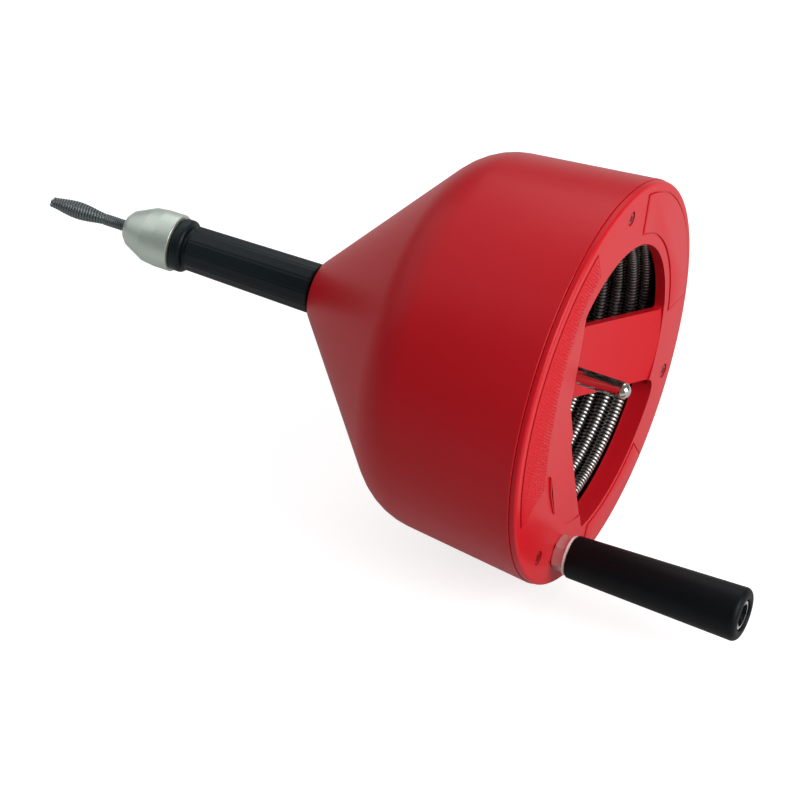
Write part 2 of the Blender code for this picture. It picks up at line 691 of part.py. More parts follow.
def coil_points():
    """Two layers of turns on the drum wall, rearwards and back, then a lead that spirals in to the spout."""
    inner = COIL_OUTER_RADIUS - COIL_LAYER_STEP
    count = round(COIL_TURNS * LOOP_POINTS)
    climb = LOOP_POINTS // 2
    rear = COIL_START_Z - COIL_TURNS * COIL_PITCH
    turn = 2 * math.pi / LOOP_POINTS
    advance = COIL_PITCH / LOOP_POINTS
    rows = [(COIL_OUTER_RADIUS, COIL_START_Z - advance * step) for step in range(count)]
    rows += [(COIL_OUTER_RADIUS - COIL_LAYER_STEP * step / climb, rear) for step in range(climb)]
    rows += [(inner, rear + advance * step) for step in range(count)]
    lead = round(LEAD_TURNS * LOOP_POINTS)
    lead_end = TUBE_START_Z - LEAD_STRAIGHT
    for step in range(lead + 1):
        share = step / lead
        rows.append((inner * (1 - share) ** 2, COIL_START_Z + (lead_end - COIL_START_Z) * share))
    points = [
        Vector((radius * math.cos(turn * index), radius * math.sin(turn * index), z))
        for index, (radius, z) in enumerate(rows)
    ]
    points.append(Vector((0.0, 0.0, CABLE_START_Z - SEAT)))
    return points


def bulb_points():
    """One wire wound from the cable's neck over the bulb to its tip."""
    count = BULB_CURLS * CURL_POINTS
    points = []
    for index in range(count + 1):
        share = index / count
        swell = math.sin(math.pi * share) ** 1.5
        plain = CABLE_RADIUS + (BULB_TIP_RADIUS - CABLE_RADIUS) * share
        middle = (CABLE_RADIUS + BULB_TIP_RADIUS) / 2
        radius = plain + (BULB_RADIUS - middle) * swell - BULB_WIRE_RADIUS
        turn = 2 * math.pi * index / CURL_POINTS
        z = BULB_Z + 2 * BULB_WIRE_RADIUS + (BULB_LENGTH - 3 * BULB_WIRE_RADIUS) * share
        points.append(Vector((radius * math.cos(turn), radius * math.sin(turn), z)))
    return points


def cable():
    straight = [
        (0.0, CABLE_END_Z),
        (BULB_CORE_RADIUS, CABLE_END_Z),
        (BULB_CORE_RADIUS, BULB_Z + SEAT),
        (CABLE_RADIUS, BULB_Z),
        (CABLE_RADIUS, CABLE_START_Z),
        (0.0, CABLE_START_Z),
    ]
    turned_part("cable", straight, STEEL, 0.35, 1.0, closed=False, steps=24)
    bulb = bulb_points()
    tube_along("cable_bulb", bulb, BULB_WIRE_RADIUS, STEEL)
    coil = coil_points()
    tube_along("cable_coil", coil, CABLE_RADIUS, STEEL)
    print("least gap in the bulb", least_gap(bulb, BULB_WIRE_RADIUS, CURL_POINTS // 2))
    print("least gap in the coil", least_gap(coil, CABLE_RADIUS, LOOP_POINTS // 2))
    wall = funnel_outline(SHELL_WALL)[-1][0]
    draft_slope = (LIP_RADIUS - WALL_FRONT_RADIUS) / SHOULDER_Z
    inner = COIL_OUTER_RADIUS + CABLE_RADIUS + SEAT
    wall_there = (wall - draft_slope * (COIL_START_Z + ANCHOR_WIDTH / 2)) * math.cos(HALF_STEP) - SEAT
    outer = math.sqrt(wall_there ** 2 - ANCHOR_LENGTH ** 2)

    def anchor(draft):
        size = (outer - inner, ANCHOR_LENGTH, ANCHOR_WIDTH)
        add_box(draft, size, ((outer + inner) / 2, ANCHOR_LENGTH / 2, COIL_START_Z))

    part("cable_anchor", mesh_from("cable_anchor", anchor), STEEL, 0.35, 1.0)


drum_shell()
rear_cover()
cover_screws()
drive_shaft()
crank()
spout()
grip()
chuck()
cable()
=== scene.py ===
# %% [markdown]
# # A hand-cranked drum auger, finished for the camera
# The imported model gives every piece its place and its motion. This lesson puts the real surfaces on it:
# moulded red plastic, black grips, plated steel and a drain cable wound from spring wire.

# %% Load the frame
import json
import math

import bmesh
import bpy
import numpy as np
from mathutils import Matrix, Vector


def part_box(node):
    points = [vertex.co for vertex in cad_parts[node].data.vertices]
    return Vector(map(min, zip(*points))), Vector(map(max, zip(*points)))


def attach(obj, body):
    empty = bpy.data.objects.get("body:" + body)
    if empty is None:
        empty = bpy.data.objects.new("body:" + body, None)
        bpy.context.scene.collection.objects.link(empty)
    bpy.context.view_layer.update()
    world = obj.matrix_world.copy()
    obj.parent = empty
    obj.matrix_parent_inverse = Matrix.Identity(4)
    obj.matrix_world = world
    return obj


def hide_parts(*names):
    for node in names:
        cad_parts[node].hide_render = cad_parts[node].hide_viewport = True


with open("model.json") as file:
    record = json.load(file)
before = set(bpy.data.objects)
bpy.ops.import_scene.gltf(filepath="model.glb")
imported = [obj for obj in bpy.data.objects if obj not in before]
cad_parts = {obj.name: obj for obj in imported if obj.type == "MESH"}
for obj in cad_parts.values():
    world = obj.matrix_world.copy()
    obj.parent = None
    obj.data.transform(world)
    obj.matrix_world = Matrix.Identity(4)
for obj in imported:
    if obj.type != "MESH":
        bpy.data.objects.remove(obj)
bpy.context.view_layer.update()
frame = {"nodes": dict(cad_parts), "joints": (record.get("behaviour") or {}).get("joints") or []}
MM = 0.001

# %% [markdown]
# ## Where things are
# Almost everything is round the drum's axis, so places are read once from the frame: the axis from the
# grip's hinge, the crank's axis from the handle's hinge, and the drum's rear lip from the cover.
# Along the axis, z counts from that lip towards the chuck, in millimetres. Stations and radii, as on a
# lathe drawing, need fewer numbers than x, y and z.

# %% Axes and stations
JOINTS = {joint["name"]: joint for joint in frame["joints"]}
AXIS = Vector(JOINTS["grip_turn"]["pos_m"])
CRANK = Vector(JOINTS["handle_turn"]["pos_m"])
COVER_DEPTH = 4.0
FACE = -COVER_DEPTH
LIP_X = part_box("rear_cover")[0].x + COVER_DEPTH * MM


def station(node, end):
    """A node's low (0) or high (1) end along the axis, in millimetres from the lip."""
    return (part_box(node)[end].x - LIP_X) / MM


def polar(z, radius, degrees):
    """A point round the drum axis: the angle counts from +Y towards +Z."""
    turn = math.radians(degrees)
    out = Vector((0.0, math.cos(turn), math.sin(turn))) * radius * MM
    return Vector((LIP_X + z * MM, AXIS.y, AXIS.z)) + out


print("lip at", LIP_X, "chuck from", station("chuck_sleeve", 0), "to", station("chuck_sleeve", 1))

# %% [markdown]
# ## The camera
# The photograph looks from behind and above with a long lens, and the drum's axis runs away to the left.
# The place, bearing and lens come from fitting the drum's rim, cone and grip outlines.

# %% Camera
CAMERA_FROM_LIP = Vector((-0.647, 1.5398, 1.5454))
VIEW_BEARING = 206.32
VIEW_ELEVATION = 43.06
LENS = 197.6
SENSOR = 36.0

camera = bpy.data.objects.new("camera", bpy.data.cameras.new("camera"))
bpy.context.scene.collection.objects.link(camera)
bearing, lift = math.radians(VIEW_BEARING), math.radians(VIEW_ELEVATION)
towards = Vector((-math.sin(bearing) * math.cos(lift), math.cos(bearing) * math.cos(lift), -math.sin(lift)))
camera.location = Vector((LIP_X, AXIS.y, AXIS.z)) + CAMERA_FROM_LIP
camera.rotation_euler = towards.to_track_quat("-Z", "Y").to_euler()
camera.data.lens = LENS
camera.data.sensor_width = SENSOR
bpy.context.scene.camera = camera
print("camera at", tuple(camera.location))

# %% [markdown]
# ## Light and floor
# The rear face is the brightest red and the side of the drum the darkest, so the key light stands behind
# the cover. A window-like light on the far side draws the pale sheen along the top of drum and cone, a
# soft fill in front keeps cone and chuck from going dull, and the surround is even and weak.

# %% Nodes and colours
def add_node(tree, kind, inputs=None, **settings):
    """Adds a node, sets its properties, and fills its inputs with values or links."""
    made = tree.nodes.new(kind)
    for name, value in settings.items():
        setattr(made, name, value)
    for name, value in (inputs or {}).items():
        if isinstance(value, bpy.types.NodeSocket):
            tree.links.new(value, made.inputs[name])
        else:
            made.inputs[name].default_value = value
    return made


def colour(text):
    """sRGB hex to linear RGBA."""
    parts = [int(text[index:index + 2], 16) / 255 for index in (1, 3, 5)]
    linear = [part / 12.92 if part <= 0.04045 else ((part + 0.055) / 1.055) ** 2.4 for part in parts]
    return (*linear, 1.0)


# %% Surround and lamps
SURROUND = 0.21
# Each lamp has its place and size in metres, and its power in watts.
LAMPS = {
    "rear_key": ((-1.9, 0.15, 1.15), 1.4, 45.0),
    "far_window": ((0.3, -1.8, 1.6), 1.6, 13.0),
    "front_fill": ((1.5, -0.2, 1.6), 2.4, 14.0),
}

bpy.context.scene.view_settings.view_transform = "Standard"
world = bpy.data.worlds.new("surround")
bpy.context.scene.world = world
world.use_nodes = True
world.node_tree.nodes["Background"].inputs["Color"].default_value = colour("#F4F6F8")
world.node_tree.nodes["Background"].inputs["Strength"].default_value = SURROUND

for name, (place, size, power) in LAMPS.items():
    lamp = bpy.data.objects.new(name, bpy.data.lights.new(name, "AREA"))
    lamp.data.size = size
    lamp.data.energy = power
    lamp.location = place
    lamp.rotation_euler = (Vector((LIP_X, 0.0, AXIS.z)) - lamp.location).to_track_quat("-Z", "Y").to_euler()
    bpy.context.scene.collection.objects.link(lamp)
print("lamps", list(LAMPS))

# %% [markdown]
# The floor is pale and matt. More light would make it white, but would also wash out the red, so it gets a
# glow instead, which only the camera and, less, the reflections see. It still keeps the shadow.

# %% Floor
FLOOR_SIZE = 8.0
FLOOR_DROP = 0.2
FLOOR_GLOW = 0.76
MIRROR_GLOW = 0.10

floor_mesh = bpy.data.meshes.new("floor")
draft = bmesh.new()
bmesh.ops.create_grid(draft, x_segments=1, y_segments=1, size=FLOOR_SIZE)
draft.to_mesh(floor_mesh)
draft.free()
floor = bpy.data.objects.new("floor", floor_mesh)
floor.location.z = -FLOOR_DROP * MM
bpy.context.scene.collection.objects.link(floor)

paper = bpy.data.materials.new("floor_paper")
paper.use_nodes = True
tree = paper.node_tree
tree.nodes.clear()
rays = add_node(tree, "ShaderNodeLightPath").outputs
mirrored = add_node(tree, "ShaderNodeMath", {0: rays["Is Glossy Ray"], 1: MIRROR_GLOW}, operation="MULTIPLY")
glow = add_node(tree, "ShaderNodeMath", {0: rays["Is Camera Ray"], 1: FLOOR_GLOW, 2: mirrored.outputs[0]},
                operation="MULTIPLY_ADD")
matt = add_node(tree, "ShaderNodeBsdfDiffuse", {"Color": colour("#C8C8C8")})
light = add_node(tree, "ShaderNodeEmission", {"Strength": glow.outputs[0]})
both = add_node(tree, "ShaderNodeAddShader", {0: matt.outputs[0], 1: light.outputs[0]})
add_node(tree, "ShaderNodeOutputMaterial", {"Surface": both.outputs[0]})
floor.data.materials.append(paper)
print("floor", 2 * FLOOR_SIZE, "m wide")

# %% [markdown]
# ## Finishes
# Each finish starts from what the real piece is made of. Patterns use object coordinates, which are
# metres in the machine's own frame, so a grain of 1 mm has a scale of 1000. Real mould grain is about a
# tenth of a millimetre across, too fine to show, so it is drawn several times as coarse.

# %% Finish helpers
MM_PER_METRE = 1000
DRIFT_DETAIL = 3.0
FINE_DETAIL = 2.0
BUMP_HEIGHT = 0.2
# A Mix node's colour sockets come after its number sockets, so they are reached by their place.
MIX_SHARE, MIX_A, MIX_B, MIX_RESULT = 0, 6, 7, 2


def finish(name, metallic=0.0, **inputs):
    """A new material and its Principled shader, with plain socket values set."""
    material = bpy.data.materials.new(name)
    material.use_nodes = True
    shader = material.node_tree.nodes["Principled BSDF"]
    shader.inputs["Metallic"].default_value = metallic
    for socket, value in inputs.items():
        shader.inputs[socket.replace("_", " ")].default_value = value
    print("finish", name)
    return material, shader


def grain(material, shader, low, high, spread_mm, rough, bump_mm, bump_depth):
    """Colour and roughness that drift over spread_mm, and a fine bump of bump_mm grains."""
    tree = material.node_tree
    where = add_node(tree, "ShaderNodeTexCoord").outputs["Object"]
    wide = {"Vector": where, "Scale": MM_PER_METRE / spread_mm, "Detail": DRIFT_DETAIL}
    drift = add_node(tree, "ShaderNodeTexNoise", wide).outputs["Fac"]
    shades = {MIX_SHARE: drift, MIX_A: colour(low), MIX_B: colour(high)}
    mixed = add_node(tree, "ShaderNodeMix", shades, data_type="RGBA")
    tree.links.new(mixed.outputs[MIX_RESULT], shader.inputs["Base Color"])
    matt = add_node(tree, "ShaderNodeMapRange", {"Value": drift, "To Min": rough[0], "To Max": rough[1]})
    tree.links.new(matt.outputs["Result"], shader.inputs["Roughness"])
    close_set = {"Vector": where, "Scale": MM_PER_METRE / bump_mm, "Detail": FINE_DETAIL}
    fine = add_node(tree, "ShaderNodeTexNoise", close_set).outputs["Fac"]
    relief = {"Height": fine, "Strength": bump_depth, "Distance": BUMP_HEIGHT * MM}
    bump = add_node(tree, "ShaderNodeBump", relief)
    tree.links.new(bump.outputs["Normal"], shader.inputs["Normal"])


# %% [markdown]
# The drum and cover are injection-moulded ABS, coloured right through: a satin skin with a faint
# flow drift and a very fine orange peel. The skin gives a pale sheen where the light grazes it.

# %% Moulded red ABS
red_abs, shader = finish("moulded_red_abs", IOR=1.5, Specular_IOR_Level=0.2)
grain(red_abs, shader, "#C6131E", "#CF1824", 60.0, (0.32, 0.38), 1.4, 0.06)

# %% [markdown]
# The long panel on the ring is moulded from a spark-eroded face, so it is duller than the rest. Inside,
# the drum's red wall is painted dark, as shade.

# %% Dull red ABS and painted inner shade
red_stipple, shader = finish("stippled_red_abs", IOR=1.5, Specular_IOR_Level=0.16)
grain(red_stipple, shader, "#C4121D", "#CD1723", 60.0, (0.40, 0.46), 0.9, 0.25)
inner_shade_red, shader = finish("red_abs_painted_inner_shade", IOR=1.5, Specular_IOR_Level=0.25)
grain(inner_shade_red, shader, "#24080A", "#380B0D", 18.0, (0.45, 0.60), 1.2, 0.2)

# %% [markdown]
# The front grip and chuck collar are polypropylene with carbon black, moulded with a slight texture.
# The crank handle has a softer, duller skin. The pale washer is natural nylon.

# %% Black and pale plastics
black_pp, shader = finish("moulded_black_polypropylene", IOR=1.49, Specular_IOR_Level=0.28)
grain(black_pp, shader, "#0A171B", "#102024", 25.0, (0.36, 0.46), 0.9, 0.15)
handle_skin, shader = finish("soft_black_handle_skin", IOR=1.5, Specular_IOR_Level=0.16)
grain(handle_skin, shader, "#04080B", "#080D11", 30.0, (0.44, 0.54), 0.8, 0.25)
nylon, shader = finish("natural_nylon", IOR=1.53)
grain(nylon, shader, "#ECEAE3", "#F4F2EC", 12.0, (0.40, 0.48), 0.7, 0.08)

# %% [markdown]
# The chuck sleeve is die-cast zinc with a satin plate, grey with a hint of green. The shaft and spindle
# are bright-plated steel, which mirrors the red beside it, and the nuts are zinc-plated, paler and less
# sharp in their reflections. The cover's screws are lacquered red, darker than the cover as painted shade
# in their recesses, so that they hide there. Hidden steel is plain drawn bar.

# %% Metals
satin_zinc, shader = finish("satin_plated_zinc", metallic=0.75)
grain(satin_zinc, shader, "#D0DCD1", "#DCE7DD", 14.0, (0.38, 0.48), 0.5, 0.10)
bright_plate, shader = finish("bright_plated_steel", metallic=1.0)
grain(bright_plate, shader, "#C9C6C0", "#D6D3CD", 8.0, (0.10, 0.18), 0.6, 0.03)
zinc_plate, shader = finish("zinc_plated_steel", metallic=0.8)
grain(zinc_plate, shader, "#D6D6D2", "#E4E4E0", 8.0, (0.24, 0.34), 0.6, 0.04)
# The screw heads' darker red is painted shade in their recesses, over a red lacquer.
shaded_red_lacquer, shader = finish("red_lacquer_painted_shade", IOR=1.5, Specular_IOR_Level=0.4)
grain(shaded_red_lacquer, shader, "#7E0D14", "#961219", 3.0, (0.25, 0.40), 0.6, 0.10)
drawn_steel, shader = finish("drawn_steel", metallic=1.0)
grain(drawn_steel, shader, "#8C8B86", "#9B9A95", 10.0, (0.28, 0.38), 0.6, 0.08)

# %% [markdown]
# The drain cable is oil-tempered spring wire wound edge to edge. Its grooves are painted near black, as
# shade and oil between the windings, and its crests pale, as a painted highlight. A wave texture could paint
# that, but it would not follow the turns, so the coil's points carry an attribute named crest, 0 in a groove
# and 1 on a crest, which mixes the two.

# %% Wound spring steel
GROOVE_ROUGH, CREST_ROUGH = 0.60, 0.34
spring_wire, shader = finish("spring_wire_painted_groove_shade", metallic=1.0)
tree = spring_wire.node_tree
crest = add_node(tree, "ShaderNodeAttribute", attribute_name="crest").outputs["Fac"]
# Near-black grooves are painted shade with oil; the pale crests are a painted highlight.
shades = {MIX_SHARE: crest, MIX_A: colour("#0D0D0D"), MIX_B: colour("#F0EEE8")}
groove_shade_mix = add_node(tree, "ShaderNodeMix", shades, data_type="RGBA")
tree.links.new(groove_shade_mix.outputs[MIX_RESULT], shader.inputs["Base Color"])
dull = add_node(tree, "ShaderNodeMapRange", {"Value": crest, "To Min": GROOVE_ROUGH, "To Max": CREST_ROUGH})
tree.links.new(dull.outputs["Result"], shader.inputs["Roughness"])

tip_wire, shader = finish("dull_spring_wire", metallic=0.9)
grain(tip_wire, shader, "#6E7576", "#838A8A", 6.0, (0.34, 0.46), 0.5, 0.1)

# %% [markdown]
# ## Turning
# A turned piece is an outline spun about an axis. A Bevel modifier could round its edges afterwards, but
# would need a weight on every edge to round them differently. Here each corner of the outline carries its
# own rounding in millimetres, because a moulded or machined edge is never sharp, and the rounding catches
# the light.

# %% Outlines
ARC_STEP = 9.0
LEAST_STEPS = 2


def rounded(corners, closed=True):
    """Corners (z, radius, rounding) in millimetres become points with each corner rounded by an arc."""
    points = []
    count = len(corners)
    for index, (z, radius, rounding) in enumerate(corners):
        here = Vector((z, radius))
        ends = not closed and index in (0, count - 1)
        if rounding == 0 or ends:
            points.append(here)
            continue
        before = (Vector(corners[index - 1][:2]) - here).normalized()
        after = (Vector(corners[(index + 1) % count][:2]) - here).normalized()
        half = before.angle(after) / 2
        centre = here + (before + after).normalized() * rounding / math.sin(half)
        first = here + before * rounding / math.tan(half) - centre
        last = here + after * rounding / math.tan(half) - centre
        sweep = first.angle(last)
        steps = max(LEAST_STEPS, round(math.degrees(sweep) / ARC_STEP))
        for step in range(steps + 1):
            share = step / steps
            arc = first * math.sin((1 - share) * sweep) + last * math.sin(share * sweep)
            points.append(centre + arc / math.sin(sweep))
    return points


def plug(high, low, radius, rounding=0.0):
    """The outline of a solid cylinder between two stations, with its high edge rounded."""
    return [(high, 0.0, 0.0), (high, radius, rounding), (low, radius, 0.0), (low, 0.0, 0.0)]


# %% Lathe
SHARP_ANGLE = 32.0
WELD = 0.002


def smooth(mesh):
    """Shades a mesh smooth and keeps edges over the sharp angle crisp."""
    mesh.shade_smooth()
    mesh.set_sharp_from_angle(angle=math.radians(SHARP_ANGLE))
    return mesh


def close(draft, mesh):
    """Welds, faces outwards and stores a draft mesh."""
    bmesh.ops.remove_doubles(draft, verts=draft.verts, dist=WELD * MM)
    bmesh.ops.recalc_face_normals(draft, faces=draft.faces)
    draft.to_mesh(mesh)
    draft.free()
    return smooth(mesh)


def lathe_into(draft, corners, centre, segments, closed=True):
    """Spins an outline about the axis through centre and adds it to a draft mesh."""
    rim = []
    for point in rounded(corners, closed):
        rim.append(draft.verts.new((LIP_X + point.x * MM, centre.y + point.y * MM, centre.z)))
    edges = [draft.edges.new(pair) for pair in zip(rim, rim[1:])]
    if closed:
        edges.append(draft.edges.new((rim[-1], rim[0])))
    bmesh.ops.spin(draft, geom=rim + edges, cent=centre, axis=(1, 0, 0), angle=2 * math.pi,
                   steps=segments, use_merge=True)


def lathe(name, corners, centre=AXIS, segments=96, closed=True):
    """A mesh spun from one outline."""
    draft = bmesh.new()
    lathe_into(draft, corners, centre, segments, closed)
    return close(draft, bpy.data.meshes.new(name))


# %% New pieces
SECOND_FINISH = 1


def new_piece(name, shape, material, body, slot, *nodes):
    """An object that rides on a body, with its finish and the nodes that it stands for; slot is not used."""
    piece = bpy.data.objects.new(name, shape)
    bpy.context.scene.collection.objects.link(piece)
    shape.materials.append(material)
    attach(piece, body)
    if nodes:
        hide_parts(*nodes)
    print(name, "rides on", body, "in", material.name)
    return piece


# %% [markdown]
# ## The drum
# The drum is one thin moulding: a wall with draft, a big soft shoulder, a straight cone and a neck boss
# that holds the spout tube. Solidify on a single outline would thicken it evenly, but not make the boss,
# so the closed outline of the CAD shell is spun finely, with small edge radii. Faces that look inwards get
# a dark red that is painted shade.

# %% Drum shell
LIP = 110.0
WALL_FRONT = 101.2
SHOULDER = 86.0
SHOULDER_ROUND = 39.0
CONE_TIP = 16.5
CONE_END = 161.5
SHELL_WALL = 3.0
NECK_BORE = 9.3
NECK_BOSS = 14.5
NECK_START = 138.0
DRUM_SEGMENTS = 192

wall = Vector((SHOULDER, WALL_FRONT - LIP)).normalized()
cone = Vector((CONE_END - SHOULDER, CONE_TIP - WALL_FRONT)).normalized()
bend = math.tan(wall.angle(cone) / 2) * SHELL_WALL
inner_corner = Vector((SHOULDER, WALL_FRONT)) + Vector((wall.y, -wall.x)) * SHELL_WALL - wall * bend
inner_lip = LIP - SHELL_WALL / wall.x
cone_slope = cone.y / cone.x
boss_meets_cone = inner_corner.x + (NECK_BOSS - inner_corner.y) / cone_slope
drum_corners = [
    (CONE_END, NECK_BORE, 0.3),
    (CONE_END, CONE_TIP, 1.2),
    (SHOULDER, WALL_FRONT, SHOULDER_ROUND),
    (0.0, LIP, 0.5),
    (0.0, inner_lip, 0.4),
    (inner_corner.x, inner_corner.y, SHOULDER_ROUND - SHELL_WALL),
    (boss_meets_cone, NECK_BOSS, 0.6),
    (NECK_START, NECK_BOSS, 0.5),
    (NECK_START, NECK_BORE, 0.3),
]
drum = lathe("drum_skin", drum_corners, segments=DRUM_SEGMENTS)
new_piece("drum_skin", drum, red_abs, "drum", "red_plastic", "drum_shell")
drum.materials.append(inner_shade_red)
# Inward faces get the dark red, which is painted shade inside the drum.
for face in drum.polygons:
    outwards = Vector((0.0, face.center.y - AXIS.y, face.center.z - AXIS.z))
    if face.normal.dot(outwards) < 0:
        face.material_index = SECOND_FINISH
print("drum", len(drum.vertices), "points")

# %% Screw posts
SCREW_CIRCLE = 97.0
SCREW_ANGLES = (215.0, 105.0, 325.0)
SCREW_BORE = 1.8
POST_LOW, POST_HIGH = -0.7, 12.8
POST_RADIUS = 5.0

post_corners = [
    (POST_HIGH, SCREW_BORE, 0.2),
    (POST_HIGH, POST_RADIUS, 0.6),
    (POST_LOW, POST_RADIUS, 0.3),
    (POST_LOW, SCREW_BORE, 0.2),
]
posts = bmesh.new()
for angle in SCREW_ANGLES:
    lathe_into(posts, post_corners, polar(0.0, SCREW_CIRCLE, angle), segments=32)
new_piece("screw_posts", close(posts, bpy.data.meshes.new("screw_posts")), red_abs, "drum", "red_plastic")

# %% [markdown]
# ## The rear cover
# The cover is a ring with a turned-in edge. A dished bar crosses it to carry the drive shaft; on one side
# the bar runs into a broad folded plate, the fan, that fills the ring beside the crank. It could be drawn
# face by face, but the folds would then have to meet by hand. Instead, all of it is joined by Booleans, a
# little too large, and then both windows are cut with rounded corners, as in a mould.

# %% Boolean and extrusion helpers
def combined(mesh, operations):
    """Applies Boolean steps, each a (kind, mesh) pair, to a mesh and returns the result."""
    body = bpy.data.objects.new("moulding", mesh)
    bpy.context.scene.collection.objects.link(body)
    helpers = []
    for kind, other in operations:
        helper = bpy.data.objects.new("helper", other)
        bpy.context.scene.collection.objects.link(helper)
        helpers.append(helper)
        step = body.modifiers.new(kind, "BOOLEAN")
        step.operation = kind
        step.object = helper
    result = bpy.data.meshes.new_from_object(body.evaluated_get(bpy.context.evaluated_depsgraph_get()))
    for used in [body] + helpers:
        bpy.data.objects.remove(used, do_unlink=True)
    return smooth(result)


def push(draft, faces, vector):
    """Extrudes faces along a vector and returns the new points."""
    drawn = bmesh.ops.extrude_face_region(draft, geom=faces)
    moved = [item for item in drawn["geom"] if isinstance(item, bmesh.types.BMVert)]
    bmesh.ops.translate(draft, verts=moved, vec=vector)
    return moved


def drawn_out(name, sheet, low, high):
    """A flat outline of points across the axis, in millimetres, drawn out between two stations."""
    draft = bmesh.new()
    rim = [draft.verts.new((LIP_X + low * MM, AXIS.y + y * MM, AXIS.z + z * MM)) for y, z in sheet]
    push(draft, [draft.faces.new(rim)], ((high - low) * MM, 0.0, 0.0))
    return close(draft, bpy.data.meshes.new(name))


def flat(radius, degrees):
    """A point across the axis, in millimetres: the angle counts from +Y towards +Z."""
    return radius * math.cos(math.radians(degrees)), radius * math.sin(math.radians(degrees))


# %% Hexagon bar
def hexagon(name, flats, low, high, centre):
    """A hexagon bar along the axis, flats in millimetres."""
    draft = bmesh.new()
    corner = flats / math.sqrt(3) * MM
    made = bmesh.ops.create_cone(draft, cap_ends=True, segments=6, radius1=corner, radius2=corner,
                                 depth=(high - low) * MM)
    bmesh.ops.rotate(draft, verts=made["verts"], matrix=Matrix.Rotation(math.pi / 2, 3, "Y"))
    place = Vector((LIP_X + (low + high) / 2 * MM, centre.y, centre.z))
    bmesh.ops.translate(draft, verts=made["verts"], vec=place)
    mesh = bpy.data.meshes.new(name)
    draft.to_mesh(mesh)
    draft.free()
    return mesh


# %% Ring
SEAT_GAP = 0.3
RING_INNER = 76.0
RING_SPARE = 0.4
RING_WALL = 3.0
LIP_END = 1.5
PLATE_UNDER = -1.0
COVER_RIM = 109.5
RIB_OUTER, RIB_INNER, RIB_END = 106.1, 103.1, 5.0

ring_corners = [
    (-SEAT_GAP, COVER_RIM, 0.3),
    (FACE, COVER_RIM, 1.9),
    (FACE, RING_INNER - RING_SPARE, 0.0),
    (LIP_END, RING_INNER - RING_SPARE, 0.0),
    (LIP_END, RING_INNER + RING_WALL, 0.6),
    (PLATE_UNDER, RING_INNER + RING_WALL, 0.5),
    (PLATE_UNDER, RIB_INNER, 0.5),
    (RIB_END, RIB_INNER, 0.6),
    (RIB_END, RIB_OUTER, 0.6),
    (-SEAT_GAP, RIB_OUTER, 0.3),
]
ring = lathe("cover_ring", ring_corners, segments=DRUM_SEGMENTS)
print("ring", len(ring.vertices), "points")

# %% Wall of the lower window
LOW_RADIUS = 85.2
LOW_WALL_OUT, LOW_WALL_IN = 2.8, 1.5
LOW_WALL_SINK = 1.5
LOW_WALL_END = 6.9
LOW_WALL_ANGLES = range(214, 294, 2)

low_sheet = [flat(LOW_RADIUS + LOW_WALL_OUT, angle) for angle in LOW_WALL_ANGLES]
low_sheet += [flat(LOW_RADIUS - LOW_WALL_IN, angle) for angle in reversed(LOW_WALL_ANGLES)]
low_wall = drawn_out("low_wall", low_sheet, PLATE_UNDER - LOW_WALL_SINK, LOW_WALL_END)
print("lower wall", len(low_wall.vertices), "points")

# %% [markdown]
# The bar is drawn in side view, as a dish that is steep on one side and shallow on the other, and pushed
# out across its width. The fan is a fold of flat triangles from one slightly sunken point to the ring. The
# hub, on the bar's inner side, holds the drive shaft.

# %% Crossbar
BAR_ANGLE = 22.0
BAR_HALF = 20.5
BAR_SPARE = 2.0
BAR_THICKNESS = 4.0
BAR_SIDE = [(-75.8, -3.9), (-18.0, 18.0), (18.0, 18.0), (50.0, -1.1)]

draft = bmesh.new()
outline = BAR_SIDE + [(along, z + BAR_THICKNESS) for along, z in BAR_SIDE[::-1]]
side = [draft.verts.new((LIP_X + z * MM, along * MM, (-BAR_HALF - BAR_SPARE) * MM)) for along, z in outline]
push(draft, [draft.faces.new(side)], (0.0, 0.0, 2 * (BAR_HALF + BAR_SPARE) * MM))
bmesh.ops.rotate(draft, verts=draft.verts, matrix=Matrix.Rotation(math.radians(BAR_ANGLE), 3, "X"))
bmesh.ops.translate(draft, verts=draft.verts, vec=(0.0, AXIS.y, AXIS.z))
crossbar = close(draft, bpy.data.meshes.new("crossbar"))
print("crossbar", len(crossbar.vertices), "points")

# %% Fan and hub
# The fan's points are given as station, radius and angle.
FAN_TIP = (-2.0, 43.0, 22.0)
FAN_START = (-3.6, 78.5, 70.5)
FAN_STOP = (-3.6, 87.0, -74.0)
FAN_SINK = 0.1
FAN_RIM = FACE + FAN_SINK
FAN_RADIUS, FAN_FOOT_RADIUS = 80.0, 88.0
FAN_FIRST, FAN_FOOT = 69.0, -65.0
FAN_STEPS = 24
FAN_THICKNESS = 3.0
HUB_FACE, HUB_END, HUB_RADIUS = 18.0, 34.0, 12.0
HUB_SINK = 1.0

draft = bmesh.new()
places = [FAN_START]
for step in range(FAN_STEPS + 1):
    places.append((FAN_RIM, FAN_RADIUS, FAN_FIRST + (FAN_FOOT - FAN_FIRST) * step / FAN_STEPS))
places += [(FAN_RIM, FAN_FOOT_RADIUS, FAN_FOOT), FAN_STOP]
tip = draft.verts.new(polar(*FAN_TIP))
border = [draft.verts.new(polar(*place)) for place in places]
sheet = [draft.faces.new((tip, start, end)) for start, end in zip(border, border[1:])]
push(draft, sheet, (FAN_THICKNESS * MM, 0.0, 0.0))
fan = close(draft, bpy.data.meshes.new("fan"))

hub = lathe("hub", plug(HUB_END, HUB_FACE + HUB_SINK, HUB_RADIUS, 0.8), segments=64, closed=False)
print("fan", len(fan.vertices), "points, hub", len(hub.vertices), "points")

# %% [markdown]
# Three low panels stand on the ring between the screws, each in a shallow bed that leaves a dark line
# round it, and a small rib stands on the fan. The longest panel is stippled. Each is drawn as two rows of
# points, an outer and an inner one, given as angle and radius, because the panels follow the ring and a
# straight outline would not.

# %% Panel shapes
PANEL_HEIGHT = 0.45
PANEL_SINK = 0.1
PANEL_EDGE = 0.3
BED_DEPTH = 0.6
BED_GAP = 0.9
CUT_PAST = 1.0
ROW_POINTS = 40


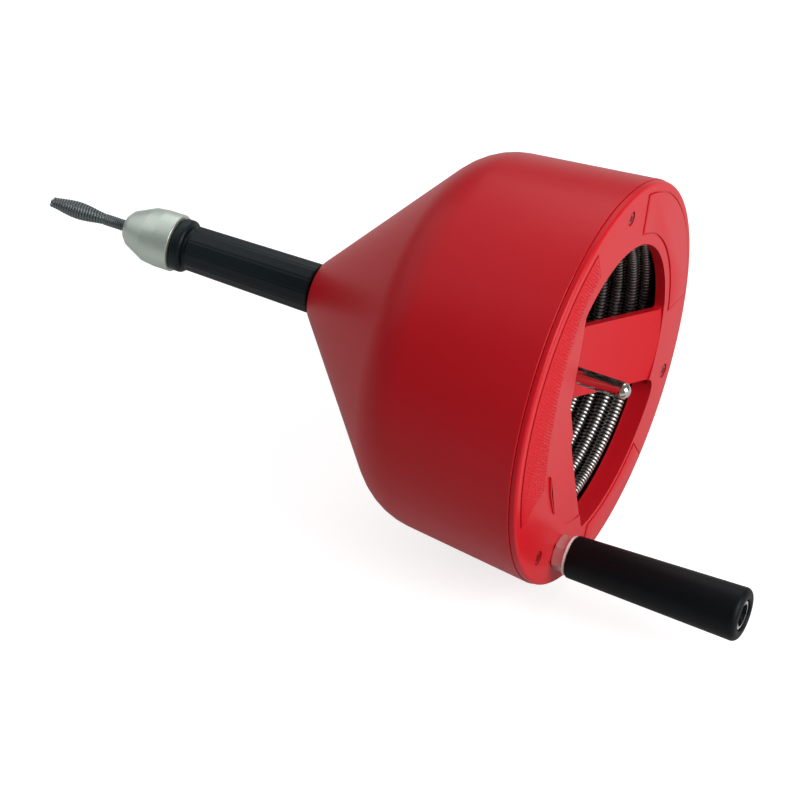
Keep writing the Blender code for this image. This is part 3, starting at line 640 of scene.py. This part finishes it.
def radius_at(row, angles):
    """The radius at one or more angles along a row of (angle, radius) corners."""
    corner_angles, corner_radii = zip(*sorted(row))
    return np.interp(angles, corner_angles, corner_radii)


def along_row(row, grow):
    """Points along a row of (angle, radius) corners, evenly in angle, run on past both ends by grow mm."""
    order = sorted(row)
    reach = math.degrees(grow / order[0][1])
    angles = np.linspace(order[0][0] - reach, order[-1][0] + reach, ROW_POINTS)
    return list(zip(angles, radius_at(row, angles)))


def arc_panel(name, outer, inner, low, high, grow=0.0):
    """A plate between two rows and two stations; one that isn't grown has its raised edges rounded."""
    draft = bmesh.new()
    corners = [(angle, radius + grow) for angle, radius in along_row(outer, grow)]
    corners += [(angle, radius - grow) for angle, radius in along_row(inner, grow)[::-1]]
    rim = [draft.verts.new(polar(high, radius, angle)) for angle, radius in corners]
    raised = set(push(draft, [draft.faces.new(rim)], ((low - high) * MM, 0.0, 0.0)))
    bmesh.ops.recalc_face_normals(draft, faces=draft.faces)
    if not grow:
        border = [edge for edge in draft.edges if len(raised & set(edge.verts)) == 2]
        bmesh.ops.bevel(draft, geom=border, offset=PANEL_EDGE * MM, segments=2, profile=0.6, affect="EDGES")
    return close(draft, bpy.data.meshes.new(name))


# %% Panels and their beds
PANELS = {
    "panel_left": (
        [(80.5, 103.0), (-7.5, 103.0)],
        [(81.0, 85.0), (68.0, 83.5), (45.0, 76.5), (26.0, 71.5), (8.0, 71.5), (-9.0, 75.0)],
        red_stipple,
    ),
    "panel_top": ([(117.0, 104.0), (190.5, 104.0)], [(120.0, 82.5), (189.0, 82.5)], red_abs),
    "panel_low": ([(241.5, 105.0), (284.0, 105.0)], [(241.8, 88.5), (281.0, 88.5)], red_abs),
    "fan_rib": ([(353.0, 67.6), (327.0, 73.2)], [(351.5, 66.8), (329.0, 71.4)], red_abs),
}

beds = []
for name, (outer, inner, material) in PANELS.items():
    plate = arc_panel(name, outer, inner, FACE - PANEL_HEIGHT, FACE + BED_DEPTH + PANEL_SINK)
    new_piece(name, plate, material, "drum", "red_plastic")
    if name != "fan_rib":
        beds.append(arc_panel("bed", outer, inner, FACE - CUT_PAST, FACE + BED_DEPTH, BED_GAP))

# %% [markdown]
# The windows follow the bar's edges, the fan's edges and the ring. Where two of those lines meet, a small
# rounding keeps the corner from looking cut with a knife.

# %% Windows
HIGH_ALONG, LOW_ALONG = 38.0, 34.5
HIGH_FIRST, HIGH_ARC = 69.5, (72.0, 183.0)
LOW_LAST, LOW_ARC = 287.2, (224.5, 283.0)
CRISP, SOFT, WIDE = 2.0, 3.0, 8.0
WINDOW_LOW, WINDOW_HIGH = FACE - 2 * CUT_PAST, 40.0
HIGH_POINTS, LOW_POINTS = 60, 40


def on_bar(along, across):
    """A point across the axis given along and across the bar."""
    turn = math.radians(BAR_ANGLE)
    y = along * math.cos(turn) - across * math.sin(turn)
    return y, along * math.sin(turn) + across * math.cos(turn)


high_window = [(*on_bar(HIGH_ALONG, BAR_HALF), SOFT), (*flat(RING_INNER, HIGH_FIRST), CRISP)]
high_window += [(*flat(RING_INNER, angle), 0.0) for angle in np.linspace(*HIGH_ARC, HIGH_POINTS)]
high_window.append((*on_bar(-math.sqrt(RING_INNER ** 2 - BAR_HALF ** 2), BAR_HALF), CRISP))
low_window = [(*on_bar(-math.sqrt(LOW_RADIUS ** 2 - BAR_HALF ** 2), -BAR_HALF), WIDE)]
low_window += [(*flat(LOW_RADIUS, angle), 0.0) for angle in np.linspace(*LOW_ARC, LOW_POINTS)]
low_window += [(*flat(LOW_RADIUS, LOW_LAST), SOFT), (*on_bar(LOW_ALONG, -BAR_HALF), SOFT)]
windows = []
for shape in (high_window, low_window):
    windows.append(drawn_out("window", [tuple(point) for point in rounded(shape)], WINDOW_LOW, WINDOW_HIGH))
print("windows", [len(window.vertices) for window in windows], "points")

# %% Recesses, bores and the finished cover
SCREW_RECESS = 4.0
SCREW_FLOOR = -2.4
SPINDLE_BORE = 4.3
BORE_END = 1.0
SHAFT_FLATS = 8.0
SOCKET_PLAY = 0.6

pocket_draft, bore_draft = bmesh.new(), bmesh.new()
pocket = plug(SCREW_FLOOR, FACE - CUT_PAST, SCREW_RECESS, 0.4)
for angle in SCREW_ANGLES:
    place = polar(0.0, SCREW_CIRCLE, angle)
    lathe_into(pocket_draft, pocket, place, segments=40, closed=False)
    lathe_into(bore_draft, plug(BORE_END, FACE, SCREW_BORE), place, segments=24, closed=False)
lathe_into(bore_draft, plug(BORE_END, FACE - CUT_PAST, SPINDLE_BORE), CRANK, segments=40, closed=False)
socket = hexagon("hub_socket", SHAFT_FLATS + SOCKET_PLAY, HUB_FACE - CUT_PAST, HUB_END + CUT_PAST, AXIS)
pockets = close(pocket_draft, bpy.data.meshes.new("screw_pockets"))
bores = close(bore_draft, bpy.data.meshes.new("cover_bores"))
steps = [("UNION", shape) for shape in (low_wall, crossbar, fan, hub)]
steps += [("DIFFERENCE", shape) for shape in (*windows, *beds, socket, pockets, bores)]
cover = combined(ring, steps)
new_piece("cover_moulding", cover, red_abs, "drum", "red_plastic", "rear_cover")
print("cover", len(cover.vertices), "points")

# %% [markdown]
# The stipple on the long panel is real shape, not only bump: low studs 1 mm across, set a little unevenly
# so that they don't read as a grid, all in one mesh.

# %% Studs
STUD_PITCH = 1.75
STUD_RADIUS, STUD_TOP = 0.5, 0.5
STUD_HEIGHT = 0.30
STUD_SINK = 0.05
STUD_ROWS, STUD_SPAN = (74.0, 101.8), (-6.5, 79.8)
STUD_STRAY, STUD_TURN = 0.5, 0.3
STUD_MARGIN = 1.2
STUD_SEED = 7

scatter = np.random.default_rng(STUD_SEED)
studs = bmesh.new()
foot = FACE - PANEL_HEIGHT + STUD_SINK
inner_row = PANELS["panel_left"][1]
for row in np.arange(*STUD_ROWS, STUD_PITCH):
    for angle in np.arange(*STUD_SPAN, math.degrees(STUD_PITCH / row)):
        radius = row + scatter.uniform(-STUD_STRAY, STUD_STRAY)
        if radius < radius_at(inner_row, angle) + STUD_MARGIN:
            continue
        place = polar(foot - STUD_HEIGHT / 2, radius, angle + scatter.uniform(-STUD_TURN, STUD_TURN))
        made = bmesh.ops.create_cone(studs, cap_ends=True, segments=7, radius1=STUD_RADIUS * MM,
                                     radius2=STUD_RADIUS * STUD_TOP * MM, depth=STUD_HEIGHT * MM)
        bmesh.ops.rotate(studs, verts=made["verts"], matrix=Matrix.Rotation(-math.pi / 2, 3, "Y"))
        bmesh.ops.translate(studs, verts=made["verts"], vec=place)
stud_mesh = close(studs, bpy.data.meshes.new("panel_studs"))
new_piece("panel_studs", stud_mesh, red_stipple, "drum", "red_plastic")
print("studs", len(stud_mesh.vertices), "points")

# %% [markdown]
# ## Screws, shaft, nuts and washer
# Screws have low domed heads with a cross cut. The drive shaft is a hexagon bar with a ball-shaped end, and
# the nuts have their corners turned off at both faces, as bought nuts have. Shaft and nuts start as
# hexagon bar, as real ones do, and Booleans join or cut the turned shapes.

# %% Cover screws
SCREW_TIP = 9.4
SCREW_SHANK = 1.5
SCREW_HEAD = 3.4
HEAD_EDGE, HEAD_TOP = 0.9, 1.2
CROSS_HALF, CROSS_SLIT = 2.1, 0.4
CROSS_FLOOR, CROSS_TOP = 0.3, 2.0

seat = SCREW_FLOOR - SEAT_GAP
screw_corners = [
    (SCREW_TIP, 0.0, 0.0),
    (SCREW_TIP, SCREW_SHANK, 0.3),
    (seat, SCREW_SHANK, 0.0),
    (seat, SCREW_HEAD, 0.2),
    (seat - HEAD_EDGE, SCREW_HEAD, 0.6),
    (seat - HEAD_TOP, 0.0, 0.0),
]
for number, angle in enumerate(SCREW_ANGLES, 1):
    y, z = flat(SCREW_CIRCLE, angle)
    arm = [(-CROSS_HALF, -CROSS_SLIT), (-CROSS_SLIT, -CROSS_SLIT), (-CROSS_SLIT, -CROSS_HALF)]
    cross = []
    for _ in range(4):
        cross += [(y + across, z + up) for across, up in arm]
        arm = [(-up, across) for across, up in arm]
    cutter = drawn_out("cross", cross, seat - CROSS_TOP, seat - CROSS_FLOOR)
    blank = lathe("screw", screw_corners, polar(0.0, SCREW_CIRCLE, angle), segments=40, closed=False)
    screw = combined(blank, [("DIFFERENCE", cutter)])
    new_piece(f"cross_screw_{number}", screw, shaded_red_lacquer, "drum", "plain_steel", f"cover_screw_{number}")

# %% Drive shaft
SHAFT_END, SHAFT_INNER = station("drive_shaft", 0), station("drive_shaft", 1)
SHAFT_NECK = 4.0
BALL = 4.5
BALL_BACK = 1.5
BALL_TURN, BALL_POINTS = (2.1, 0.1), 16
THREAD = 3.0
THREAD_SINK = 1.0

bar = hexagon("shaft_bar", SHAFT_FLATS, SHAFT_END + SHAFT_NECK, HUB_END - SEAT_GAP, AXIS)
ball = [(SHAFT_END + BALL * BALL_BACK, 0.0, 0.0)]
for turn in np.linspace(*BALL_TURN, BALL_POINTS):
    ball.append((SHAFT_END + BALL * (1 - math.cos(turn)), BALL * math.sin(turn), 0.0))
ball.append((SHAFT_END, 0.0, 0.0))
thread = plug(SHAFT_INNER, HUB_END - THREAD_SINK, THREAD, 0.5)
shaft = combined(bar, [
    ("UNION", lathe("ball", ball, AXIS, segments=48, closed=False)),
    ("UNION", lathe("thread", thread, AXIS, segments=48, closed=False)),
])
new_piece("hex_shaft", shaft, bright_plate, "drum", "plain_steel", "drive_shaft")

# %% Nuts
TURN_OVER = 0.6
TURN_BITE, TURN_PAST = 1.1, 0.5
TURN_SLOPE = 1.45
THREAD_BORE = 3.3
# Each nut has its node, its axis, its width over flats and its bore.
NUTS = {
    "plated_crank_nut": ("crank_nut", CRANK, 17.0, SPINDLE_BORE),
    "plated_shaft_nut": ("shaft_nut", AXIS, 10.0, THREAD_BORE),
    "plated_locknut": ("spindle_locknut", CRANK, 13.0, SPINDLE_BORE),
}

for name, (node, centre, flats, bore) in NUTS.items():
    low, high = station(node, 0), station(node, 1)
    reach = flats / math.sqrt(3) + TURN_OVER
    slim = reach - TURN_SLOPE * (TURN_BITE + TURN_PAST)
    turner = [(high + TURN_PAST, 0.0, 0.0), (high + TURN_PAST, slim, 0.0), (high - TURN_BITE, reach, 0.0)]
    turner += [(low + TURN_BITE, reach, 0.0), (low - TURN_PAST, slim, 0.0), (low - TURN_PAST, 0.0, 0.0)]
    hole = plug(high + CUT_PAST, low - CUT_PAST, bore)
    nut = combined(hexagon(name, flats, low, high, centre), [
        ("INTERSECT", lathe("turner", turner, centre, segments=96, closed=False)),
        ("DIFFERENCE", lathe("hole", hole, centre, segments=48, closed=False)),
    ])
    new_piece(name, nut, zinc_plate, "drum", "bright_zinc", node)
    print(name, len(nut.vertices), "points")

# %% Pale washer
WASHER_RADIUS = 10.8
low, high = station("handle_washer", 0), station("handle_washer", 1)
washer_corners = [
    (high, SPINDLE_BORE, 0.2),
    (high, WASHER_RADIUS, 0.4),
    (low, WASHER_RADIUS, 0.4),
    (low, SPINDLE_BORE, 0.2),
]
washer = lathe("nylon_washer", washer_corners, CRANK, segments=64)
new_piece("nylon_washer", washer, nylon, "drum", "pale_plastic", "handle_washer")

# %% [markdown]
# ## The crank handle
# The handle is a tapered sleeve that turns on the spindle. It thickens to the free end, where a recess
# shows the spindle's head as a thin bright ring; the dish in the head is painted as dark as the handle, as
# shade. Sleeve and spindle are turned as two pieces, because only the sleeve moves.

# %% Handle
HANDLE_ROOT, HANDLE_TIP = station("crank_handle", 1), station("crank_handle", 0)
ROOT_RADIUS, TIP_END_RADIUS = 11.5, 14.6
RECESS_RADIUS, RECESS_DEPTH = 8.5, 6.5
RECESS_FLOOR = HANDLE_TIP + RECESS_DEPTH

handle_corners = [
    (HANDLE_ROOT, SPINDLE_BORE, 0.3),
    (HANDLE_ROOT, ROOT_RADIUS, 1.0),
    (HANDLE_TIP, TIP_END_RADIUS, 3.2),
    (HANDLE_TIP, RECESS_RADIUS, 1.2),
    (RECESS_FLOOR, RECESS_RADIUS, 0.5),
    (RECESS_FLOOR, SPINDLE_BORE, 0.2),
]
handle = lathe("handle_skin", handle_corners, CRANK, segments=96)
new_piece("handle_skin", handle, handle_skin, "handle", "black_plastic", "crank_handle")

# %% Spindle
SPINDLE = 4.0
SPINDLE_INNER = station("crank_spindle", 1)
HEAD_SEAT = RECESS_FLOOR - SEAT_GAP
HEAD_RADIUS, HEAD_HEIGHT = 8.1, 5.2
DISH_RIM, DISH_FLOOR, DISH_HEIGHT = 6.0, 5.3, 2.6
DISH_SHADE_RADIUS, DISH_SHADE_START = 6.1, 0.5
KEY_FLATS, KEY_TOP, KEY_FLOOR = 5.0, 4.5, 0.8

spindle_corners = [
    (SPINDLE_INNER, 0.0, 0.0),
    (SPINDLE_INNER, SPINDLE, 0.6),
    (HEAD_SEAT, SPINDLE, 0.0),
    (HEAD_SEAT, HEAD_RADIUS, 0.3),
    (HEAD_SEAT - HEAD_HEIGHT, HEAD_RADIUS, 0.6),
    (HEAD_SEAT - HEAD_HEIGHT, DISH_RIM, 0.3),
    (HEAD_SEAT - DISH_HEIGHT, DISH_FLOOR, 0.5),
    (HEAD_SEAT - DISH_HEIGHT, 0.0, 0.0),
]
key = hexagon("key_socket", KEY_FLATS, HEAD_SEAT - KEY_TOP, HEAD_SEAT - KEY_FLOOR, CRANK)
blank = lathe("spindle", spindle_corners, CRANK, segments=64, closed=False)
spindle = combined(blank, [("DIFFERENCE", key)])
new_piece("plated_spindle", spindle, bright_plate, "drum", "plain_steel", "crank_spindle")
# The dish in the head takes the handle's black as painted shade.
spindle.materials.append(handle_skin)
for face in spindle.polygons:
    off = face.center - CRANK
    in_head = face.center.x < LIP_X + (HEAD_SEAT - DISH_SHADE_START) * MM
    if in_head and math.hypot(off.y, off.z) < DISH_SHADE_RADIUS * MM:
        face.material_index = SECOND_FINISH

# %% [markdown]
# ## The grip
# The grip is a tapered sleeve with broad flats along it, and a narrow flute where two flats meet. It could
# be a cone with cutters round it, but a formula for its section, lofted along the taper, keeps the flutes
# smooth and lets both ends be rounded. In front, a skirt covers the thrust washer and the collar's waist.

# %% Section of the grip
GRIP_FLATS = 12
FLAT_POINTS = 14
FLUTE_DEPTH = 0.45
FLUTE_SHARPNESS = 12
GRIP_SEGMENTS = GRIP_FLATS * FLAT_POINTS
GRIP_ANGLES = [360 * step / GRIP_SEGMENTS for step in range(GRIP_SEGMENTS)]


def grip_section(radius, flute, angle):
    """The grip's radius at an angle: flats, with a share of the flute pressed in where two of them meet."""
    off = math.radians((angle % (360 / GRIP_FLATS)) - 180 / GRIP_FLATS)
    flat_cut = 1 - math.cos(math.pi / GRIP_FLATS) / math.cos(off)
    press = max(0.0, math.cos(math.radians(angle * GRIP_FLATS))) ** FLUTE_SHARPNESS
    return radius * (1 - flat_cut) - FLUTE_DEPTH * flute * press


print("grip", GRIP_SEGMENTS, "points round")

# %% Fluted grip
GRIP_REAR, GRIP_SEAT = station("grip_sleeve", 0), station("grip_sleeve", 1)
SKIRT = 7.8
SKIRT_BORE = 11.7
GRIP_FRONT = GRIP_SEAT + SKIRT
GRIP_RADII = (14.0, 12.7)
# Distance from the end, change of radius, and share of the flute. The skirt's wall is thin, so its front
# edge is rounded less than the rear one.
REAR_EDGE = [(0.0, -1.0, 0.6), (0.3, -0.5, 0.8), (0.9, -0.1, 1.0), (1.6, 0.0, 1.0)]
FRONT_EDGE = [(0.7, 0.0, 1.0), (0.25, -0.08, 0.8), (0.0, -0.25, 0.6)]

draft = bmesh.new()
length = GRIP_FRONT - GRIP_REAR
rings = []
front = [(length - back, shrink, flute) for back, shrink, flute in FRONT_EDGE]
for along, shrink, flute in REAR_EDGE + front:
    radius = GRIP_RADII[0] + (GRIP_RADII[1] - GRIP_RADII[0]) * along / length + shrink
    row = [polar(GRIP_REAR + along, grip_section(radius, flute, angle), angle) for angle in GRIP_ANGLES]
    rings.append([draft.verts.new(point) for point in row])
inside = [(GRIP_FRONT, SKIRT_BORE), (GRIP_SEAT, SKIRT_BORE), (GRIP_SEAT, NECK_BORE), (GRIP_REAR, NECK_BORE)]
for z, radius in inside:
    rings.append([draft.verts.new(polar(z, radius, angle)) for angle in GRIP_ANGLES])
for row, following in zip(rings, rings[1:] + rings[:1]):
    for step in range(GRIP_SEGMENTS):
        after = (step + 1) % GRIP_SEGMENTS
        draft.faces.new((row[step], row[after], following[after], following[step]))
grip = close(draft, bpy.data.meshes.new("grip_ribs"))
new_piece("grip_ribs", grip, black_pp, "grip", "black_plastic", "grip_sleeve")

# %% [markdown]
# ## Collar and chuck
# A black collar covers the thread behind the chuck: a fat bead in front and a waist that runs under the
# grip's skirt. The silver sleeve has a straight barrel, a shallow taper, a cone and a rounded nose with the
# cable's mouth. Both are plain lathe work.

# %% Collar
COLLAR_REAR, COLLAR_FRONT = station("chuck_collar", 0), station("chuck_collar", 1)
TUBE_END = station("spout_tube", 1)
BEAD_RADIUS, BEAD_BACK = 14.4, 6.6
WAIST_RADIUS, WAIST_BACK = 10.8, 7.0
BODY_BORE = 12.3

collar_corners = [
    (COLLAR_FRONT, BEAD_RADIUS, 1.8),
    (COLLAR_FRONT - BEAD_BACK, BEAD_RADIUS, 2.4),
    (COLLAR_FRONT - WAIST_BACK, WAIST_RADIUS, 0.8),
    (COLLAR_REAR, WAIST_RADIUS, 0.4),
    (COLLAR_REAR, NECK_BORE, 0.3),
    (TUBE_END, NECK_BORE, 0.1),
    (TUBE_END, BODY_BORE, 0.1),
    (COLLAR_FRONT, BODY_BORE, 0.3),
]
collar = lathe("chuck_grip_collar", collar_corners, segments=96)
new_piece("chuck_grip_collar", collar, black_pp, "drum", "black_plastic", "chuck_collar")

# %% Chuck sleeve
CHUCK_REAR, CHUCK_NOSE = station("chuck_sleeve", 0), station("chuck_sleeve", 1)
BODY_FRONT = station("chuck_body", 1)
BARREL_RADIUS, BARREL_END = 15.7, 9.5
TAPER_RADIUS, TAPER_END = 14.8, 17.0
CONE_RADIUS, CONE_BACK = 9.7, 3.1
NOSE_RADIUS = 6.4
NOSE_INSIDE, NOSE_WALL = 7.5, 3.3
MOUTH = 4.05

chuck_corners = [
    (CHUCK_NOSE, MOUTH, 0.5),
    (CHUCK_NOSE, NOSE_RADIUS, 1.2),
    (CHUCK_NOSE - CONE_BACK, CONE_RADIUS, 1.2),
    (CHUCK_REAR + TAPER_END, TAPER_RADIUS, 1.2),
    (CHUCK_REAR + BARREL_END, BARREL_RADIUS, 2.0),
    (CHUCK_REAR, BARREL_RADIUS, 0.8),
    (CHUCK_REAR, BODY_BORE, 0.4),
    (BODY_FRONT + SEAT_GAP, BODY_BORE, 0.4),
    (CHUCK_NOSE - NOSE_WALL, NOSE_INSIDE, 0.4),
    (CHUCK_NOSE - NOSE_WALL, MOUTH, 0.2),
]
chuck = lathe("chuck_nose", chuck_corners, segments=128)
new_piece("chuck_nose", chuck, satin_zinc, "sleeve", "satin_zinc", "chuck_sleeve")

# %% [markdown]
# ## The cable in the drum
# The cable is a tight spring, so each turn in the drum is a tube ribbed by its windings. One formula
# gives the route, towards the cover in one layer along the wall and back in the next, then in to the spout.

# %% Route of the coil
CABLE = 3.15
COIL_RADIUS, LAYER_STEP = 88.5, 7.8
COIL_START, COIL_PITCH, COIL_TURNS = 55.6, 8.2, 5.5
CLIMB_TURNS = 0.5
LEAD_TURNS = 19 / 24
LEAD_GAP = 18.0
LEAD_END = station("spout_tube", 0) - LEAD_GAP
CABLE_TAIL = station("cable", 0) - SEAT_GAP
START_ANGLE = -90.0
POINTS_A_TURN = 240


def coil_route(turns):
    """Station and radius of the cable after a number of turns."""
    inner = COIL_RADIUS - LAYER_STEP
    rear = COIL_START - COIL_TURNS * COIL_PITCH
    if turns < COIL_TURNS:
        return COIL_START - COIL_PITCH * turns, COIL_RADIUS
    turns -= COIL_TURNS
    if turns < CLIMB_TURNS:
        return rear, COIL_RADIUS - LAYER_STEP * turns / CLIMB_TURNS
    turns -= CLIMB_TURNS
    if turns < COIL_TURNS:
        return rear + COIL_PITCH * turns, inner
    share = min(1.0, (turns - COIL_TURNS) / LEAD_TURNS)
    return COIL_START + (LEAD_END - COIL_START) * share, inner * (1 - share) ** 2


ALL_TURNS = 2 * COIL_TURNS + CLIMB_TURNS + LEAD_TURNS
samples = np.linspace(0.0, ALL_TURNS, round(ALL_TURNS * POINTS_A_TURN))
route = [polar(*coil_route(turns), START_ANGLE + 360 * turns) for turns in samples]
route.append(polar(CABLE_TAIL, 0.0, 0.0))
route = np.array(route)
run = np.concatenate([[0.0], np.cumsum(np.linalg.norm(np.diff(route, axis=0), axis=1))])
print("cable in the drum", round(run[-1], 3), "m")

# %% [markdown]
# A helix of wire round all of that route would need over a million faces. The tube is lofted along it
# instead, with a groove between windings, and its crest attribute drives the finish. The real windings are
# about 1.1 mm apart, too fine to show behind the windows, so they are drawn 2.1 mm apart.

# %% Ribbed tube
WINDING = 2.1
WINDING_DEPTH = 0.55
CREST_SHARPNESS = 4
ALONG_AXIS = 0.2


def ribbed_tube(name, route, run, sides, per_winding):
    """A tube along a route whose radius dips between windings; crest is stored on its points."""
    count = round(run[-1] / (WINDING * MM) * per_winding)
    along = np.linspace(0.0, run[-1], count)
    spine = np.stack([np.interp(along, run, route[:, axis]) for axis in range(3)], axis=1)
    tangent = np.gradient(spine, axis=0)
    tangent /= np.linalg.norm(tangent, axis=1)[:, None]
    # Where the cable runs along the drum's axis, another direction serves as its side.
    side = np.cross(tangent, (1.0, 0.0, 0.0))
    weak = np.linalg.norm(side, axis=1) < ALONG_AXIS
    side[weak] = np.cross(tangent[weak], (0.0, 1.0, 0.0))
    side /= np.linalg.norm(side, axis=1)[:, None]
    lift = np.cross(side, tangent)
    wave = np.abs(np.sin(math.pi * along / (WINDING * MM)))
    radius = CABLE * MM - WINDING_DEPTH * MM * (1 - wave)
    angles = 2 * math.pi * np.arange(sides) / sides
    ring = side[:, None] * np.cos(angles)[None, :, None] + lift[:, None] * np.sin(angles)[None, :, None]
    points = (spine[:, None] + ring * radius[:, None, None]).reshape(-1, 3)
    index = np.arange(count * sides).reshape(count, sides)
    after = np.roll(index, -1, axis=1)
    faces = np.stack([index[:-1], after[:-1], after[1:], index[1:]], axis=2).reshape(-1, 4).tolist()
    faces += [index[0][::-1].tolist(), index[-1].tolist()]
    mesh = bpy.data.meshes.new(name)
    mesh.from_pydata(points.tolist(), [], faces)
    store = mesh.attributes.new("crest", "FLOAT", "POINT")
    store.data.foreach_set("value", np.repeat(wave ** CREST_SHARPNESS, sides).astype(np.float32))
    draft = bmesh.new()
    draft.from_mesh(mesh)
    bmesh.ops.recalc_face_normals(draft, faces=draft.faces)
    draft.to_mesh(mesh)
    draft.free()
    mesh.shade_smooth()
    return mesh


coil = ribbed_tube("wound_cable_coil", route, run, sides=8, per_winding=4)
new_piece("wound_cable_coil", coil, spring_wire, "drum", "cable_steel", "cable_coil")
print("coil", len(coil.vertices), "points")

# %% [markdown]
# ## The cable's front end
# In front of the chuck the cable shows its own wire, and its tip is wound into a bulb that finds its way
# round bends. This stretch is short and seen close up, so both are real helices, bevelled curves round a
# plain core. The neck's winding goes on inside the chuck for as far as the cable can be fed out, so that it
# also shows then.

# %% Wound wire
CURL_POINTS = 20


def wound_wire(name, low, high, curls, wire, outside):
    """A wire wound between two stations; outside(share) is the radius that it shows, in millimetres."""
    count = round(curls * CURL_POINTS)
    curve = bpy.data.curves.new(name, "CURVE")
    curve.dimensions = "3D"
    curve.bevel_depth = wire * MM
    curve.bevel_resolution = 3
    curve.use_fill_caps = True
    spline = curve.splines.new("POLY")
    spline.points.add(count)
    for step, point in enumerate(spline.points):
        share = step / count
        z = low + (high - low) * share
        point.co = (*polar(z, outside(share) - wire, 360 * step / CURL_POINTS), 1.0)
    return new_piece(name, curve, tip_wire, "feed", "cable_steel")


# %% Bulb and neck
BULB_REAR = station("cable_bulb", 0)
CABLE_END, CABLE_TIP = station("cable", 0), station("cable", 1)
BULB_RADIUS, TIP_RADIUS = 4.8, 2.9
BULB_SWELL = 1.5
BULB_WIRE, BULB_CURLS = 0.8, 20
CABLE_WIRE, WIRE_GAP = 0.55, 0.04
FEED_TRAVEL, NECK_SPARE, NECK_LAP = 90.0, 8.0, 0.4
NECK_LOW = CHUCK_NOSE - FEED_TRAVEL - NECK_SPARE
NECK_HIGH = BULB_REAR + NECK_LAP


def bulb_outside(share):
    """The bulb's radius along its length: a taper with a swelling."""
    plain = CABLE + (TIP_RADIUS - CABLE) * share
    return plain + (BULB_RADIUS - (CABLE + TIP_RADIUS) / 2) * math.sin(math.pi * share) ** BULB_SWELL


bulb_ends = (BULB_REAR + BULB_WIRE, CABLE_TIP - BULB_WIRE)
bulb = wound_wire("bulb_winding", *bulb_ends, BULB_CURLS, BULB_WIRE, bulb_outside)
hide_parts("cable_bulb")
neck_curls = (NECK_HIGH - NECK_LOW) / (2 * CABLE_WIRE + WIRE_GAP)
wound_wire("neck_winding", NECK_LOW, NECK_HIGH, neck_curls, CABLE_WIRE, lambda share: CABLE)

# %% Core of the cable
TIP_CORE, BULB_CORE = 1.4, 1.6
NECK_CORE_FRONT, NECK_CORE_REAR = 2.5, 2.6
CORE_FRONT, CORE_REAR = 5.0, 0.3
CORE_STEP = 0.4

core_corners = [
    (CABLE_TIP, 0.0, 0.0),
    (CABLE_TIP, TIP_CORE, 0.4),
    (BULB_REAR + CORE_FRONT, BULB_CORE, 0.4),
    (BULB_REAR + CORE_REAR, NECK_CORE_FRONT, 0.4),
    (NECK_LOW, NECK_CORE_REAR, 0.2),
    (NECK_LOW - CORE_STEP, CABLE, 0.2),
    (CABLE_END, CABLE, 0.3),
    (CABLE_END, 0.0, 0.0),
]
core = lathe("cable_core", core_corners, segments=48, closed=False)
new_piece("cable_core", core, tip_wire, "feed", "cable_steel", "cable")
print("cable from", CABLE_END, "wound from", NECK_LOW, "to", CABLE_TIP)

# %% [markdown]
# ## Pieces kept from the frame
# The hidden pieces keep their CAD shapes and get a real finish: steel for tube, clip, chuck, anchor and the
# shaft's washer, black plastic for bush and thrust washers.

# %% Kept nodes
KEPT = {
    drawn_steel: ("spout_tube", "tube_clip", "chuck_body", "chuck_jaw_1", "chuck_jaw_2", "chuck_jaw_3",
                  "cable_anchor", "shaft_washer"),
    black_pp: ("throat_bush", "grip_washer_rear", "grip_washer_front"),
}
for material, names in KEPT.items():
    for name in names:
        piece = frame["nodes"][name]
        piece.data.materials.clear()
        piece.data.materials.append(material)
    print("kept in", material.name, names)

# %% [markdown]
# ## Last update

# %% Update the view layer
bpy.context.view_layer.update()
